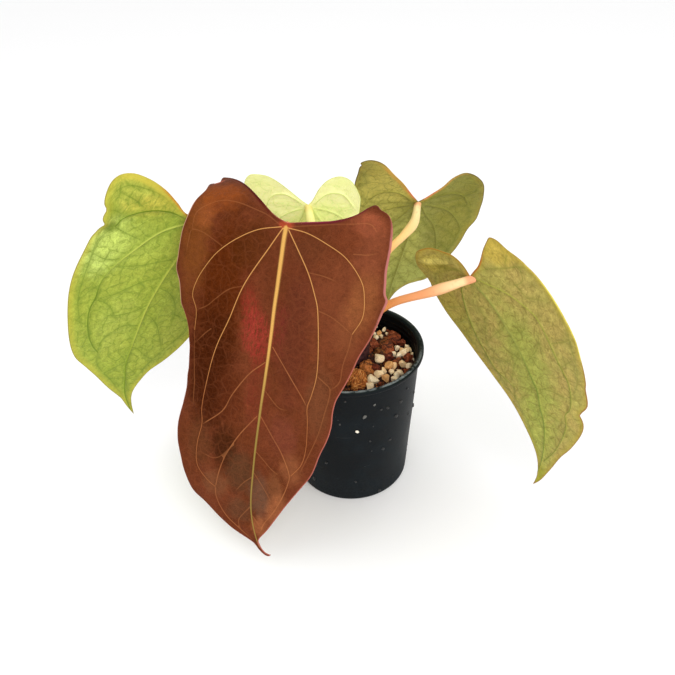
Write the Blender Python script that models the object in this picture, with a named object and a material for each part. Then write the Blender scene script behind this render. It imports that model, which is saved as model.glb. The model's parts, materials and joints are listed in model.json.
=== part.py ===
"""Potted anthurium: five heart-shaped leaves on long stalks, in a round black nursery pot.

Sizes are in millimetres and angles in degrees; meshes become metres when they are made.
The pot stands on z = 0 round the Z axis, and the youngest leaf hangs towards -Y.
A leaf is drawn flat first: u runs across it and v along its midrib, from the point where
the stalk joins (v = 0) to the tip. The two lobes lie at v < 0. The flat leaf is then bent.
"""

import math
from dataclasses import dataclass, field

import bmesh
import bpy
import numpy as np
from mathutils import Matrix, Vector
from mathutils.geometry import delaunay_2d_cdt

METRES = 0.001
GAP = 0.35

POT_HEIGHT = 108.0
RIM_RADIUS = 50.0
RIM_DEPTH = 3.6
WALL_TOP_RADIUS = 47.4
BASE_RADIUS = 40.4
WALL = 1.5
FLOOR = 3.2
FLOOR_RECESS = 1.6
POT_SIDES = 40
DRAIN_HOLES = 8
DRAIN_RADIUS = 3.5
DRAIN_CIRCLE = 20.5

MIX_TOP = 92.0
MIX_GRID = 7.0
MIX_ROUGHNESS = 1.6
LUMPS = 24
LUMP_CIRCLE = 38.0
LUMP_SIZES = (3.2, 5.2)
LUMP_ROUGHNESS = 0.16
LUMP_TILT = 0.5

GRAIN_ROUGHNESS = 0.12
GRAIN_OVERLAP = (0.5, 1.0)
GRAIN_SIZES = (0.9, 1.15)
MIDDLE_GRAIN = 1.2
GRAIN_RISE = 0.45

STEM_X = 4.0
STEM_Y = 6.0
STEM_FOOT = 70.0
STEM_RADIUS = 7.0
CROWN_RADIUS = 10.5
CROWN_TOP = 107.0
STEM_SIDES = 14
SHEATH_LENGTH = 30.0
SHEATH_RADIUS = 4.6
SHEATH_LIP = 0.2
SHEATH_RING_SPACING = 5.0
SHEATH_SIDES = 9

STALK_RADIUS = 2.5
KNUCKLE_RADIUS = 3.4
KNUCKLE_FROM_BLADE = 20.0
KNUCKLE_LENGTH = 11.0
FOOT_FLARE = 0.7
FOOT_LENGTH = 12.0
STALK_SIDES = 10
STALK_RING_SPACING = 7.0
# A direction that no stalk starts along, to set the first ring's corners by.
TUBE_SIDE = (0.3, 1.0, 0.2)

BLADE_THICKNESS = 0.8
BLADE_GRID = 13.0
MARGIN_SPACING = 7.0
VEIN_SPACING = 11.0
SEAT_GAP = 0.5
SEAT_RADIUS = 6.2
VEIN_START = 9.0
MIDRIB_RIDGE = 1.5
MIDRIB_HALF_WIDTH = 1.9
SIDE_RIDGE = 0.8
SIDE_HALF_WIDTH = 1.3
UPPER_RIDGE_SHARE = 0.4
LOBE_BEND_LENGTH = 16.0
LOBE_REACH = 80.0
WAVE_HEIGHT = 2.0
WAVE_LENGTH = 75.0

# Side veins of a plain leaf, as shares of its half width and of its length.
INNER_VEIN = [(0.12, 0.05), (0.31, 0.18), (0.47, 0.34), (0.58, 0.52), (0.6, 0.66), (0.48, 0.77)]
OUTER_VEIN = [(0.12, 0.02), (0.32, 0.03), (0.58, 0.09), (0.76, 0.19), (0.81, 0.29), (0.73, 0.37)]
# Veins that turn back into the lobes, as shares of the half width and of the lobes' depth.
LOBE_VEIN = [(0.14, -0.12), (0.3, -0.34), (0.48, -0.42), (0.66, -0.28), (0.78, 0.0)]


@dataclass
class Leaf:
    """One leaf: where its stalk meets it, how it hangs and bends, and its flat outline."""

    name: str
    colour: tuple
    stalk_colour: tuple
    joint: tuple
    heading: float
    pitch: float
    length: float
    arch: float
    sway: float
    roll: float
    fold: float
    lobe_bend: float
    half_width: float
    lobe_depth: float
    bow: float
    plus_side: list
    minus_side: list
    stalk: list
    veins: list = field(default_factory=list)


LEAVES = [
    Leaf(
        name="front",
        colour=(0.19, 0.045, 0.015),
        stalk_colour=(0.62, 0.25, 0.12),
        joint=(-34, -11, 203),
        heading=-115.5,
        pitch=56.5,
        length=210,
        arch=18,
        sway=-8,
        roll=0,
        fold=0.10,
        lobe_bend=62,
        half_width=66,
        lobe_depth=36,
        bow=3,
        plus_side=[
            (9, -5), (22, -13), (40, -26), (53, -34), (61, -36), (62, -20), (65, 0), (69, 20),
            (70, 36), (65, 54), (57, 67), (53, 84), (55, 106), (61, 128), (61, 144), (55, 165),
            (42, 180), (25, 194), (11, 201), (4, 206),
        ],
        minus_side=[
            (-11, -4), (-24, -6), (-38, -9), (-47, -17), (-53, -20), (-60, -14), (-64, 2),
            (-66, 20), (-67, 38), (-61, 57), (-53, 77), (-47, 93), (-45, 110), (-38, 133),
            (-28, 154), (-14, 175), (-3, 190), (1, 202),
        ],
        stalk=[(1, 4, 98), (-5, 1, 120), (-13, 3, 150), (-22, 4, 178)],
        veins=[
            [(4, 6), (12, 21), (22, 42), (30, 68), (39, 97), (44, 125), (46, 150), (34, 167)],
            [(9, 3), (29, 12), (46, 28), (55, 45), (51, 64)],
            [(8, -2), (22, -6), (40, -9), (54, -4), (60, 8)],
            [(-4, 7), (-16, 22), (-28, 43), (-33, 75), (-31, 110), (-28, 138), (-19, 150)],
            [(-8, 2), (-27, 6), (-44, 15), (-55, 34), (-51, 57)],
            [(-8, -1), (-24, -3), (-41, -5), (-55, -2)],
        ],
    ),
    Leaf(
        name="right",
        colour=(0.20, 0.21, 0.05),
        stalk_colour=(0.70, 0.30, 0.13),
        joint=(74, -18, 167),
        heading=-34.5,
        pitch=54.5,
        length=168.5,
        arch=10,
        sway=-22,
        roll=72,
        fold=0.08,
        lobe_bend=20,
        half_width=52,
        lobe_depth=36,
        bow=14,
        plus_side=[
            (8, -4), (22, -11), (33, -14), (41, -7), (54, 14), (61, 28), (63, 39), (58, 57),
            (51, 77), (44, 86), (44, 93), (36, 109), (24, 124), (13, 145), (5, 158),
        ],
        minus_side=[
            (0, -11), (-5, -24), (-14, -33), (-25, -36), (-36, -30), (-41, -14), (-39, 12),
            (-37, 33), (-31, 54), (-20, 76), (-9, 95), (-2, 113), (2, 130), (3, 148),
        ],
        stalk=[(9, 3, 98), (12, -2, 118), (17, -7, 136), (29, -8.5, 146), (50, -12, 154.5)],
    ),
    Leaf(
        name="back_right",
        colour=(0.16, 0.20, 0.06),
        stalk_colour=(0.75, 0.38, 0.20),
        joint=(52, 74, 173),
        heading=116,
        pitch=64,
        length=120,
        arch=10,
        sway=0,
        roll=-17,
        fold=0.08,
        lobe_bend=12,
        half_width=50,
        lobe_depth=49,
        bow=0,
        plus_side=[
            (4, -7), (8, -19), (14, -29), (21, -34), (31, -33), (40, -25), (47, -9), (51, 9),
            (50, 19), (46, 36), (42, 57), (36, 77), (28, 90), (14, 95), (7, 102),
        ],
        minus_side=[
            (-8, -11), (-19, -24), (-30, -36), (-40, -45), (-50, -50), (-55, -45), (-53, -32),
            (-48, -12), (-42, 12), (-34, 36), (-27, 58), (-19, 80), (-9, 100),
        ],
        stalk=[(8, 9, 98), (9, 16, 120), (15, 25, 142), (27, 34, 157), (40, 46, 163.5), (48.5, 60, 166)],
    ),
    Leaf(
        name="back",
        colour=(0.42, 0.55, 0.16),
        stalk_colour=(0.72, 0.74, 0.34),
        joint=(-23, 48, 186),
        heading=88,
        pitch=71,
        length=120,
        arch=10,
        sway=0,
        roll=0,
        fold=0.08,
        lobe_bend=0,
        half_width=38,
        lobe_depth=27,
        bow=0,
        plus_side=[
            (3, -6), (8, -16), (14, -23), (21, -26), (28, -24), (33, -12), (34, 4), (33, 24),
            (30, 46), (25, 68), (18, 88), (8, 108),
        ],
        minus_side=[
            (-4, -6), (-10, -14), (-18, -23), (-27, -28), (-36, -27), (-40, -18), (-38, 0),
            (-35, 22), (-32, 44), (-27, 66), (-19, 88), (-9, 108),
        ],
        stalk=[(2, 10, 98), (-3, 17, 124), (-12, 25, 150), (-20, 36, 171)],
    ),
    Leaf(
        name="left",
        colour=(0.26, 0.36, 0.08),
        stalk_colour=(0.66, 0.42, 0.18),
        joint=(-91, 26, 189),
        heading=186.5,
        pitch=56,
        length=176,
        arch=10,
        sway=10,
        roll=-58,
        fold=0.06,
        lobe_bend=10,
        half_width=62,
        lobe_depth=20,
        bow=-12,
        plus_side=[
            (8, -5), (18, -15), (28, -18), (36, -12), (40, 3), (42, 27), (42, 52), (41, 76),
            (38, 96), (31, 111), (17, 125), (6, 134), (0, 144), (-2, 160),
        ],
        minus_side=[
            (-12, -4), (-24, -10), (-38, -15), (-52, -18), (-64, -17), (-71, -11), (-70, -3),
            (-66, 7), (-69, 20), (-68, 40), (-66, 64), (-61, 86), (-53, 104), (-42, 118), (-28, 135),
            (-13, 153), (-5, 166),
        ],
        stalk=[(-1, 7, 98), (-10, 11, 120), (-36, 16, 154), (-66, 14, 178)],
    ),
]

# Loose pieces on top of the mix: name, x, y, spread, grains, grain radius, colour.
TOP_DRESSING = [
    ("perlite_front", 26, -19, 9.0, 9, 3.1, (0.86, 0.80, 0.66)),
    ("perlite_side", 35, 11, 6.0, 6, 2.7, (0.86, 0.78, 0.62)),
    ("perlite_back", 21, 31, 5.5, 6, 2.2, (0.88, 0.84, 0.72)),
    ("bark_piece", 1, -18, 5.0, 4, 5.2, (0.36, 0.12, 0.04)),
]


def clear_scene():
    for thing in list(bpy.data.objects):
        bpy.data.objects.remove(thing, do_unlink=True)


def paint(thing, colour, roughness):
    """Give an object its own plain material."""
    finish = bpy.data.materials.new(thing.name)
    finish.use_nodes = True
    shader = finish.node_tree.nodes["Principled BSDF"]
    shader.inputs["Base Color"].default_value = (*colour, 1.0)
    shader.inputs["Roughness"].default_value = roughness
    shader.inputs["Metallic"].default_value = 0.0
    thing.data.materials.clear()
    thing.data.materials.append(finish)


def make_object(name, points, faces):
    """A mesh object from points in millimetres, with its faces turned outwards."""
    mesh = bpy.data.meshes.new(name)
    mesh.from_pydata([tuple(float(c) * METRES for c in p) for p in points], [], faces)
    shape = bmesh.new()
    shape.from_mesh(mesh)
    bmesh.ops.recalc_face_normals(shape, faces=shape.faces)
    shape.to_mesh(mesh)
    shape.free()
    thing = bpy.data.objects.new(name, mesh)
    bpy.context.scene.collection.objects.link(thing)
    return thing


def smooth(thing, angle=40):
    thing.data.shade_smooth()
    thing.data.set_sharp_from_angle(angle=math.radians(angle))


def apply_modifiers(thing):
    bpy.context.view_layer.update()
    graph = bpy.context.evaluated_depsgraph_get()
    made = bpy.data.meshes.new_from_object(thing.evaluated_get(graph))
    thing.modifiers.clear()
    thing.data = made


def combine(thing, others, operation):
    """Join the other objects to a thing, or cut them from it, and drop them."""
    group = bpy.data.collections.new(thing.name + "_others")
    bpy.context.scene.collection.children.link(group)
    for other in others:
        bpy.context.scene.collection.objects.unlink(other)
        group.objects.link(other)
    boolean = thing.modifiers.new("combine", "BOOLEAN")
    boolean.operation = operation
    boolean.operand_type = "COLLECTION"
    boolean.collection = group
    boolean.solver = "EXACT"
    apply_modifiers(thing)
    for other in others:
        bpy.data.objects.remove(other, do_unlink=True)
    bpy.data.collections.remove(group)


def lathe(name, profile, sides, centre=(0.0, 0.0)):
    """Turn a profile of (radius, height) points, which starts and ends on the axis."""
    points = [(centre[0], centre[1], profile[0][1]), (centre[0], centre[1], profile[-1][1])]
    rings = profile[1:-1]
    for radius, height in rings:
        for k in range(sides):
            turn = 2 * math.pi * k / sides
            points.append(
                (centre[0] + radius * math.cos(turn), centre[1] + radius * math.sin(turn), height)
            )
    faces = []
    for k in range(sides):
        after = (k + 1) % sides
        faces.append((0, 2 + after, 2 + k))
        last = 2 + (len(rings) - 1) * sides
        faces.append((1, last + k, last + after))
        for row in range(len(rings) - 1):
            low = 2 + row * sides
            high = low + sides
            faces.append((low + k, low + after, high + after, high + k))
    return make_object(name, points, faces)


def spline(points, spacing):
    """Evenly spaced points on a smooth curve through the given ones, both ends kept."""
    through = np.array(points, float)
    padded = np.vstack([2 * through[0] - through[1], through, 2 * through[-1] - through[-2]])
    share = np.linspace(0, 1, 16, endpoint=False)[:, None]
    runs = []
    for a, b, c, d in zip(padded, padded[1:], padded[2:], padded[3:]):
        bend = 2 * a - 5 * b + 4 * c - d
        turn = 3 * b - a - 3 * c + d
        runs.append(0.5 * (2 * b + (c - a) * share + bend * share**2 + turn * share**3))
    fine = np.vstack([*runs, through[-1:]])
    along = np.concatenate([[0], np.cumsum(np.linalg.norm(np.diff(fine, axis=0), axis=1))])
    count = max(2, round(along[-1] / spacing) + 1)
    stops = np.linspace(0, along[-1], count)
    return np.stack([np.interp(stops, along, fine[:, k]) for k in range(fine.shape[1])], axis=1)


def ring_points(centre, radius, count):
    turns = 2 * np.pi * np.arange(count) / count
    return np.stack([centre[0] + radius * np.cos(turns), centre[1] + radius * np.sin(turns)], 1)


def inner_radius(height):
    """The pot's inner wall radius at a height."""
    top = POT_HEIGHT - RIM_DEPTH
    return BASE_RADIUS - WALL + (WALL_TOP_RADIUS - BASE_RADIUS) * height / top


def make_pot():
    """Thin tapered wall with a rolled rim, a ring foot and drain holes in the recessed floor."""
    under_rim = POT_HEIGHT - RIM_DEPTH
    profile = [
        (0, 0),
        (11, 0),
        (12.5, FLOOR_RECESS),
        (28.5, FLOOR_RECESS),
        (30, 0),
        (BASE_RADIUS - 1.6, 0),
        (BASE_RADIUS, 1.6),
        (WALL_TOP_RADIUS, under_rim),
        (RIM_RADIUS - 0.6, under_rim + 0.2),
        (RIM_RADIUS, under_rim + 0.9),
        (RIM_RADIUS, POT_HEIGHT - 0.8),
        (RIM_RADIUS - 0.9, POT_HEIGHT),
        (WALL_TOP_RADIUS - 0.6, POT_HEIGHT),
        (inner_radius(under_rim), POT_HEIGHT - 0.9),
    ]
    for height in (102.0, 98.0, 94.5):
        profile.append((inner_radius(height + 0.7), height + 0.7))
        profile.append((inner_radius(height) - 0.45, height))
        profile.append((inner_radius(height - 0.7), height - 0.7))
    profile.append((inner_radius(FLOOR + 1.4), FLOOR + 1.4))
    profile.append((BASE_RADIUS - WALL - 1.4, FLOOR))
    profile.append((0, FLOOR))
    pot = lathe("pot", profile, POT_SIDES)
    drills = []
    for k in range(DRAIN_HOLES):
        turn = 2 * math.pi * (k + 0.5) / DRAIN_HOLES
        centre = (DRAIN_CIRCLE * math.cos(turn), DRAIN_CIRCLE * math.sin(turn))
        drill = [(0, -2), (DRAIN_RADIUS, -2), (DRAIN_RADIUS, FLOOR + 2), (0, FLOOR + 2)]
        drills.append(lathe("drill", drill, 12, centre))
    combine(pot, drills, "DIFFERENCE")
    smooth(pot)
    paint(pot, (0.012, 0.017, 0.02), 0.42)


def hex_grid(low, high, spacing):
    """Points of a triangular grid that fills the box between two corners."""
    rows = []
    row_step = spacing * math.sqrt(3) / 2
    for j, y in enumerate(np.arange(low[1], high[1], row_step)):
        x = np.arange(low[0] + (j % 2) * spacing / 2, high[0], spacing)
        rows.append(np.stack([x, np.full_like(x, y)], axis=1))
    return np.vstack(rows)


def nearest(points, others):
    """Distance from each point to the nearest of the others."""
    return np.min(np.linalg.norm(points[:, None] - others[None], axis=2), axis=1)


def inside(points, loop):
    """Which points lie inside a closed loop."""
    ahead = np.roll(loop, -1, axis=0)
    x, y = points[:, :1], points[:, 1:]
    spans = (loop[:, 1] > y) != (ahead[:, 1] > y)
    rise = np.where(ahead[:, 1] == loop[:, 1], 1.0, ahead[:, 1] - loop[:, 1])
    crossing = loop[:, 0] + (y - loop[:, 1]) / rise * (ahead[:, 0] - loop[:, 0])
    return (np.sum(spans & (x < crossing), axis=1) % 2) == 1


def triangles_within(loop, inner):
    """Delaunay triangles of the loop's inside. Points keep their order: the loop's come first."""
    count = len(loop)
    flat = [Vector((float(x), float(y))) for x, y in np.vstack([loop, inner])]
    edges = [(k, (k + 1) % count) for k in range(count)]
    _, _, faces, origin, _, _ = delaunay_2d_cdt(flat, edges, [], 1, 1e-4)
    first = [ids[0] for ids in origin]
    return [tuple(first[k] for k in face) for face in faces]


def closed_sheet(name, upper, lower, triangles, rim):
    """Join two copies of one triangulated sheet by a wall along the rim's points."""
    count = len(upper)
    faces = list(triangles)
    faces += [tuple(count + k for k in reversed(face)) for face in triangles]
    for k in range(rim):
        after = (k + 1) % rim
        faces.append((k, count + k, count + after))
        faces.append((k, count + after, after))
    return make_object(name, np.vstack([upper, lower]), faces)


def lump(centre, radii, turn, rough, draw):
    """A rough stone-like lump."""
    shape = bmesh.new()
    bmesh.ops.create_icosphere(shape, subdivisions=1, radius=1.0)
    tilt = Matrix.Rotation(turn, 3, "Z") @ Matrix.Rotation(draw.uniform(-LUMP_TILT, LUMP_TILT), 3, "X")
    points = []
    for vertex in shape.verts:
        reach = 1 + rough * draw.uniform(-1, 1)
        stretched = Vector([c * r * reach for c, r in zip(vertex.co, radii)])
        points.append(Vector(centre) + tilt @ stretched)
    faces = [tuple(v.index for v in face.verts) for face in shape.faces]
    shape.free()
    return make_object("lump", points, faces)


def lump_places(draw):
    """Bark lumps lie apart from each other, from the stem and from the loose pieces."""
    taken = [(STEM_X, STEM_Y, CROWN_RADIUS + 7)]
    taken += [(x, y, spread + 2 * grain + 4) for _, x, y, spread, _, grain, _ in TOP_DRESSING]
    places = []
    for _ in range(4000):
        if len(places) == LUMPS:
            break
        radius = LUMP_CIRCLE * math.sqrt(draw.uniform(0, 1))
        turn = draw.uniform(0, 2 * math.pi)
        x, y = radius * math.cos(turn), radius * math.sin(turn)
        size = draw.uniform(*LUMP_SIZES)
        if all(math.hypot(x - a, y - b) > size + room - 2 for a, b, room in taken):
            places.append((x, y, size))
            taken.append((x, y, size))
    return places


def make_mix():
    """The bed of potting mix: its rough top with bark lumps grown in, and the stem's hole."""
    draw = np.random.default_rng(11)
    top_radius = inner_radius(MIX_TOP) - 1.2
    rim = ring_points((0, 0), top_radius, POT_SIDES)
    grid = hex_grid((-50, -50), (50, 50), MIX_GRID)
    grid = grid[np.linalg.norm(grid, axis=1) < top_radius - MIX_GRID * 0.6]
    flat = np.vstack([rim, grid])
    height = MIX_TOP + MIX_ROUGHNESS * draw.uniform(-1, 1, len(flat))
    for _, x, y, spread, _, grain, _ in TOP_DRESSING:
        close = np.linalg.norm(flat - (x, y), axis=1) < spread + grain + MIX_GRID
        height[close] = MIX_TOP
    upper = np.column_stack([flat, height])
    triangles = triangles_within(rim, grid)
    foot_height = FLOOR + GAP
    bands = [(inner_radius(MIX_TOP - 8) - 0.8, MIX_TOP - 8), (inner_radius(8) - GAP, 8.0)]
    bands.append((BASE_RADIUS - WALL - 2.0, foot_height))
    points = [tuple(p) for p in upper]
    faces = list(triangles)
    above = list(range(POT_SIDES))
    for radius, level in bands:
        below = list(range(len(points), len(points) + POT_SIDES))
        points += [(x, y, level) for x, y in ring_points((0, 0), radius, POT_SIDES)]
        for k in range(POT_SIDES):
            after = (k + 1) % POT_SIDES
            faces.append((above[k], below[k], below[after], above[after]))
        above = below
    points.append((0, 0, foot_height))
    faces += [(above[k], len(points) - 1, above[(k + 1) % POT_SIDES]) for k in range(POT_SIDES)]
    mix = make_object("potting_mix", points, faces)
    lumps = []
    for x, y, size in lump_places(draw):
        radii = (size * 1.25, size, size * 0.8)
        lumps.append(lump((x, y, MIX_TOP + 0.5), radii, draw.uniform(0, math.pi), LUMP_ROUGHNESS, draw))
    combine(mix, lumps, "UNION")
    hole = [
        (0, STEM_FOOT - GAP),
        (STEM_RADIUS + GAP, STEM_FOOT - GAP),
        (STEM_RADIUS + GAP, MIX_TOP - 6),
        (CROWN_RADIUS + 1.0, MIX_TOP + 1),
        (CROWN_RADIUS + 3.0, MIX_TOP + 20),
        (0, MIX_TOP + 20),
    ]
    combine(mix, [lathe("hole", hole, STEM_SIDES, (STEM_X, STEM_Y))], "DIFFERENCE")
    paint(mix, (0.10, 0.035, 0.018), 0.95)


def make_top_dressing(name, x, y, spread, grains, size, colour):
    """Grains that lean on each other, cut level where they lie on the mix."""
    draw = np.random.default_rng(len(name) + grains)
    floor = MIX_TOP + GAP
    heap = []
    for k in range(grains):
        turn = 2 * math.pi * k / max(1, grains - 1)
        away = 0.0 if k == 0 else spread - size * draw.uniform(*GRAIN_OVERLAP)
        radius = size * draw.uniform(*GRAIN_SIZES)
        if k == 0:
            radius = size * MIDDLE_GRAIN
        rise = floor + radius * GRAIN_RISE
        centre = (x + away * math.cos(turn), y + away * math.sin(turn), rise)
        radii = (radius * 1.2, radius, radius * 0.9)
        heap.append(lump(centre, radii, draw.uniform(0, math.pi), GRAIN_ROUGHNESS, draw))
    combine(heap[0], heap[1:], "UNION")
    heap[0].name = name
    under = spread + 4 * size
    box = [(-under, -under), (under, -under), (under, under), (-under, under)]
    points = [(x + a, y + b, level) for level in (floor - 20, floor) for a, b in box]
    sides = [(k, (k + 1) % 4, 4 + (k + 1) % 4, 4 + k) for k in range(4)]
    cutter = make_object("cutter", points, [(3, 2, 1, 0), (4, 5, 6, 7), *sides])
    combine(heap[0], [cutter], "DIFFERENCE")
    paint(heap[0], colour, 0.9)


def bend(leaf, v):
    """Midrib points with their tangent, side and upward directions, at distances v."""
    fine = np.arange(-LOBE_REACH, leaf.length * 1.1, 1.0)
    share = np.clip(fine / leaf.length, 0, None)
    lobe_share = np.tanh(np.clip(-fine, 0, None) / LOBE_BEND_LENGTH)
    pitch = np.radians(leaf.pitch + leaf.arch * share - leaf.lobe_bend * lobe_share)[:, None]
    sway = np.radians(leaf.sway * share)[:, None]
    turn = math.radians(leaf.heading)
    level = np.array([math.cos(turn), math.sin(turn), 0.0])
    up = np.array([0.0, 0.0, 1.0])
    along = np.cos(pitch) * level - np.sin(pitch) * up
    upper = np.sin(pitch) * level + np.cos(pitch) * up
    side = np.cross(along, upper)
    roll = math.radians(leaf.roll)
    side, upper = (
        side * math.cos(roll) + upper * math.sin(roll),
        upper * math.cos(roll) - side * math.sin(roll),
    )
    along, side = (
        along * np.cos(sway) + side * np.sin(sway),
        side * np.cos(sway) - along * np.sin(sway),
    )
    steps = (along[:-1] + along[1:]) / 2
    path = np.vstack([np.zeros(3), np.cumsum(steps, axis=0)])
    found = []
    for row in (path, along, side, upper):
        found.append(np.stack([np.interp(v, fine, row[:, k]) for k in range(3)], axis=1))
    start = np.array([np.interp(0.0, fine, path[:, k]) for k in range(3)])
    found[0] = found[0] - start + np.array(leaf.joint, float)
    return found


def relief(leaf, u, v):
    """How far a bent leaf stands off its midrib's plane: a soft fold and waves at the margin."""
    fold = leaf.fold * (np.sqrt(u * u + 36.0) - 6.0)
    cup = leaf.fold * u * u / leaf.half_width
    phase = np.where(u > 0, 0.8, 3.6)
    wave = WAVE_HEIGHT * (u / leaf.half_width) ** 2 * np.sin(2 * np.pi * v / WAVE_LENGTH + phase)
    return fold - cup + wave


def on_leaf(leaf, flat, offset):
    """Points of the bent leaf, lifted off its middle sheet towards its upper side."""
    u, v = flat[:, 0], flat[:, 1]
    middle, _, side, upper = bend(leaf, v)
    lift = relief(leaf, u, v) + offset
    return middle + side * u[:, None] + upper * lift[:, None]


def midrib_line(leaf):
    """The midrib of the flat leaf, from the stalk to the tip."""
    share = np.linspace(0, 1, 9)
    return np.stack([leaf.bow * 4 * share * (1 - share), leaf.length * share], axis=1)


def side_veins(leaf):
    """The flat leaf's side veins: its own where it has them, or the plain leaf's pattern."""
    if leaf.veins:
        return [np.array(vein, float) for vein in leaf.veins]
    found = []
    for sign in (1, -1):
        for pattern, long_side in (
            (INNER_VEIN, leaf.length),
            (OUTER_VEIN, leaf.length),
            (LOBE_VEIN, leaf.lobe_depth),
        ):
            shares = np.array(pattern)
            v = shares[:, 1] * long_side
            along = np.clip(v / leaf.length, 0, 1)
            shift = leaf.bow * 4 * along * (1 - along) * 0.7
            found.append(np.stack([sign * shares[:, 0] * leaf.half_width + shift, v], axis=1))
    return found


def vein_points(line, ridge, half_width):
    """Crest points along a vein with their ridge heights, and the points at its two feet."""
    crest = spline(line, VEIN_SPACING)
    away = np.linalg.norm(crest, axis=1) > VEIN_START
    crest = crest[away]
    direction = np.gradient(crest, axis=0)
    direction /= np.linalg.norm(direction, axis=1)[:, None]
    across = np.stack([-direction[:, 1], direction[:, 0]], axis=1)
    fade = np.linspace(1.0, 0.3, len(crest))
    fade[0] *= 0.5
    reach = (half_width * (0.5 + 0.5 * fade))[:, None]
    feet = np.vstack([crest + across * reach, crest - across * reach])
    return crest, ridge * fade, feet


def flat_leaf(leaf):
    """The leaf's outline, its inner points, and the ridge height at each point."""
    notch = np.array([[0.0, -2.0]])
    tip = np.array([[0.0, leaf.length]])
    plus = spline(np.vstack([notch, leaf.plus_side, tip]), MARGIN_SPACING)
    minus = spline(np.vstack([notch, leaf.minus_side, tip]), MARGIN_SPACING)
    outline = np.vstack([plus[:-1], minus[:0:-1]])
    crests, heights, feet = [], [], []
    lines = [(midrib_line(leaf), MIDRIB_RIDGE, MIDRIB_HALF_WIDTH)]
    lines += [(line, SIDE_RIDGE, SIDE_HALF_WIDTH) for line in side_veins(leaf)]
    for line, ridge, half_width in lines:
        crest, height, foot = vein_points(line, ridge, half_width)
        keep = inside(crest, outline) & (nearest(crest, outline) > 2.0)
        if crests:
            keep &= nearest(crest, np.vstack(crests)) > 1.6
        crests.append(crest[keep])
        heights.append(height[keep])
        feet.append(foot)
    crest = np.vstack(crests)
    seat = ring_points((0, 0), SEAT_RADIUS, 8)
    foot = np.vstack([seat, *feet])
    foot = foot[inside(foot, outline) & (nearest(foot, outline) > 1.5)]
    foot = foot[nearest(foot, crest) > 0.85]
    kept = crest
    for point in foot:
        if nearest(point[None], kept)[0] > 0.85:
            kept = np.vstack([kept, point])
    grid = hex_grid((-100, -70), (100, leaf.length), BLADE_GRID)
    grid = grid[inside(grid, outline) & (nearest(grid, outline) > BLADE_GRID * 0.45)]
    grid = grid[nearest(grid, kept) > BLADE_GRID * 0.5]
    inner = np.vstack([kept, grid])
    ridge = np.zeros(len(outline) + len(inner))
    ridge[len(outline) : len(outline) + len(crest)] = np.concatenate(heights)
    return outline, inner, ridge


def make_blade(leaf):
    """A thin leaf blade, its veins raised strongly below and slightly above."""
    outline, inner, ridge = flat_leaf(leaf)
    flat = np.vstack([outline, inner])
    triangles = triangles_within(outline, inner)
    half = BLADE_THICKNESS / 2
    upper = on_leaf(leaf, flat, half + ridge * UPPER_RIDGE_SHARE)
    lower = on_leaf(leaf, flat, -half - ridge)
    blade = closed_sheet(f"blade_{leaf.name}", upper, lower, triangles, len(outline))
    blade.data.shade_smooth()
    paint(blade, leaf.colour, 0.5)


def stalk_path(leaf):
    """The stalk's centre line in steps of one gap, from in the crown to just below the blade."""
    _, _, _, upper = bend(leaf, np.array([0.0]))
    seat = np.array(leaf.joint, float) - upper[0] * (BLADE_THICKNESS / 2 + SEAT_GAP)
    return spline(np.vstack([leaf.stalk, seat]), GAP), seat, upper[0]


def every(path, spacing):
    """Numbers of the path's points that lie about one spacing apart, both ends among them."""
    last = len(path) - 1
    return np.unique(np.linspace(0, last, round(last * GAP / spacing) + 1).astype(int))


def directions(path):
    """The path's direction at each of its points."""
    along = np.gradient(path, axis=0)
    return along / np.linalg.norm(along, axis=1)[:, None]


def tube(name, path, along, radii, sides, seat=None, facing=None):
    """A capped round tube; its far end is cut along the plane at seat where one is given."""
    across = np.cross(along[0], TUBE_SIDE)
    points = []
    for k, (centre, ahead, radius) in enumerate(zip(path, along, radii)):
        across = across - ahead * np.dot(across, ahead)
        across /= np.linalg.norm(across)
        third = np.cross(ahead, across)
        for turn in 2 * np.pi * np.arange(sides) / sides:
            point = centre + radius * (across * math.cos(turn) + third * math.sin(turn))
            if seat is not None and k == len(path) - 1:
                point = point + ahead * np.dot(seat - point, facing) / np.dot(ahead, facing)
            points.append(point)
    faces = []
    for row in range(len(path) - 1):
        low = row * sides
        for k in range(sides):
            after = (k + 1) % sides
            faces.append((low + k, low + after, low + sides + after, low + sides + k))
    faces.append(tuple(reversed(range(sides))))
    faces.append(tuple(range(len(points) - sides, len(points))))
    return make_object(name, points, faces)


def make_stalk(leaf):
    """The leaf stalk above its sheath, swollen at a knuckle below the blade."""
    path, seat, facing = stalk_path(leaf)
    begins = round(SHEATH_LENGTH / GAP) + 1
    along = directions(path)[begins:]
    path = path[begins:]
    passed = GAP * np.arange(len(path))
    left = passed[::-1]
    stops = every(path, STALK_RING_SPACING)
    swell = np.exp(-(((left - KNUCKLE_FROM_BLADE) / KNUCKLE_LENGTH) ** 2))
    radii = STALK_RADIUS + (KNUCKLE_RADIUS - STALK_RADIUS) * swell
    radii += FOOT_FLARE * np.exp(-passed / FOOT_LENGTH)
    name = f"petiole_{leaf.name}"
    stalk = tube(name, path[stops], along[stops], radii[stops], STALK_SIDES, seat, facing)
    smooth(stalk, 60)
    paint(stalk, leaf.stalk_colour, 0.45)


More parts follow.
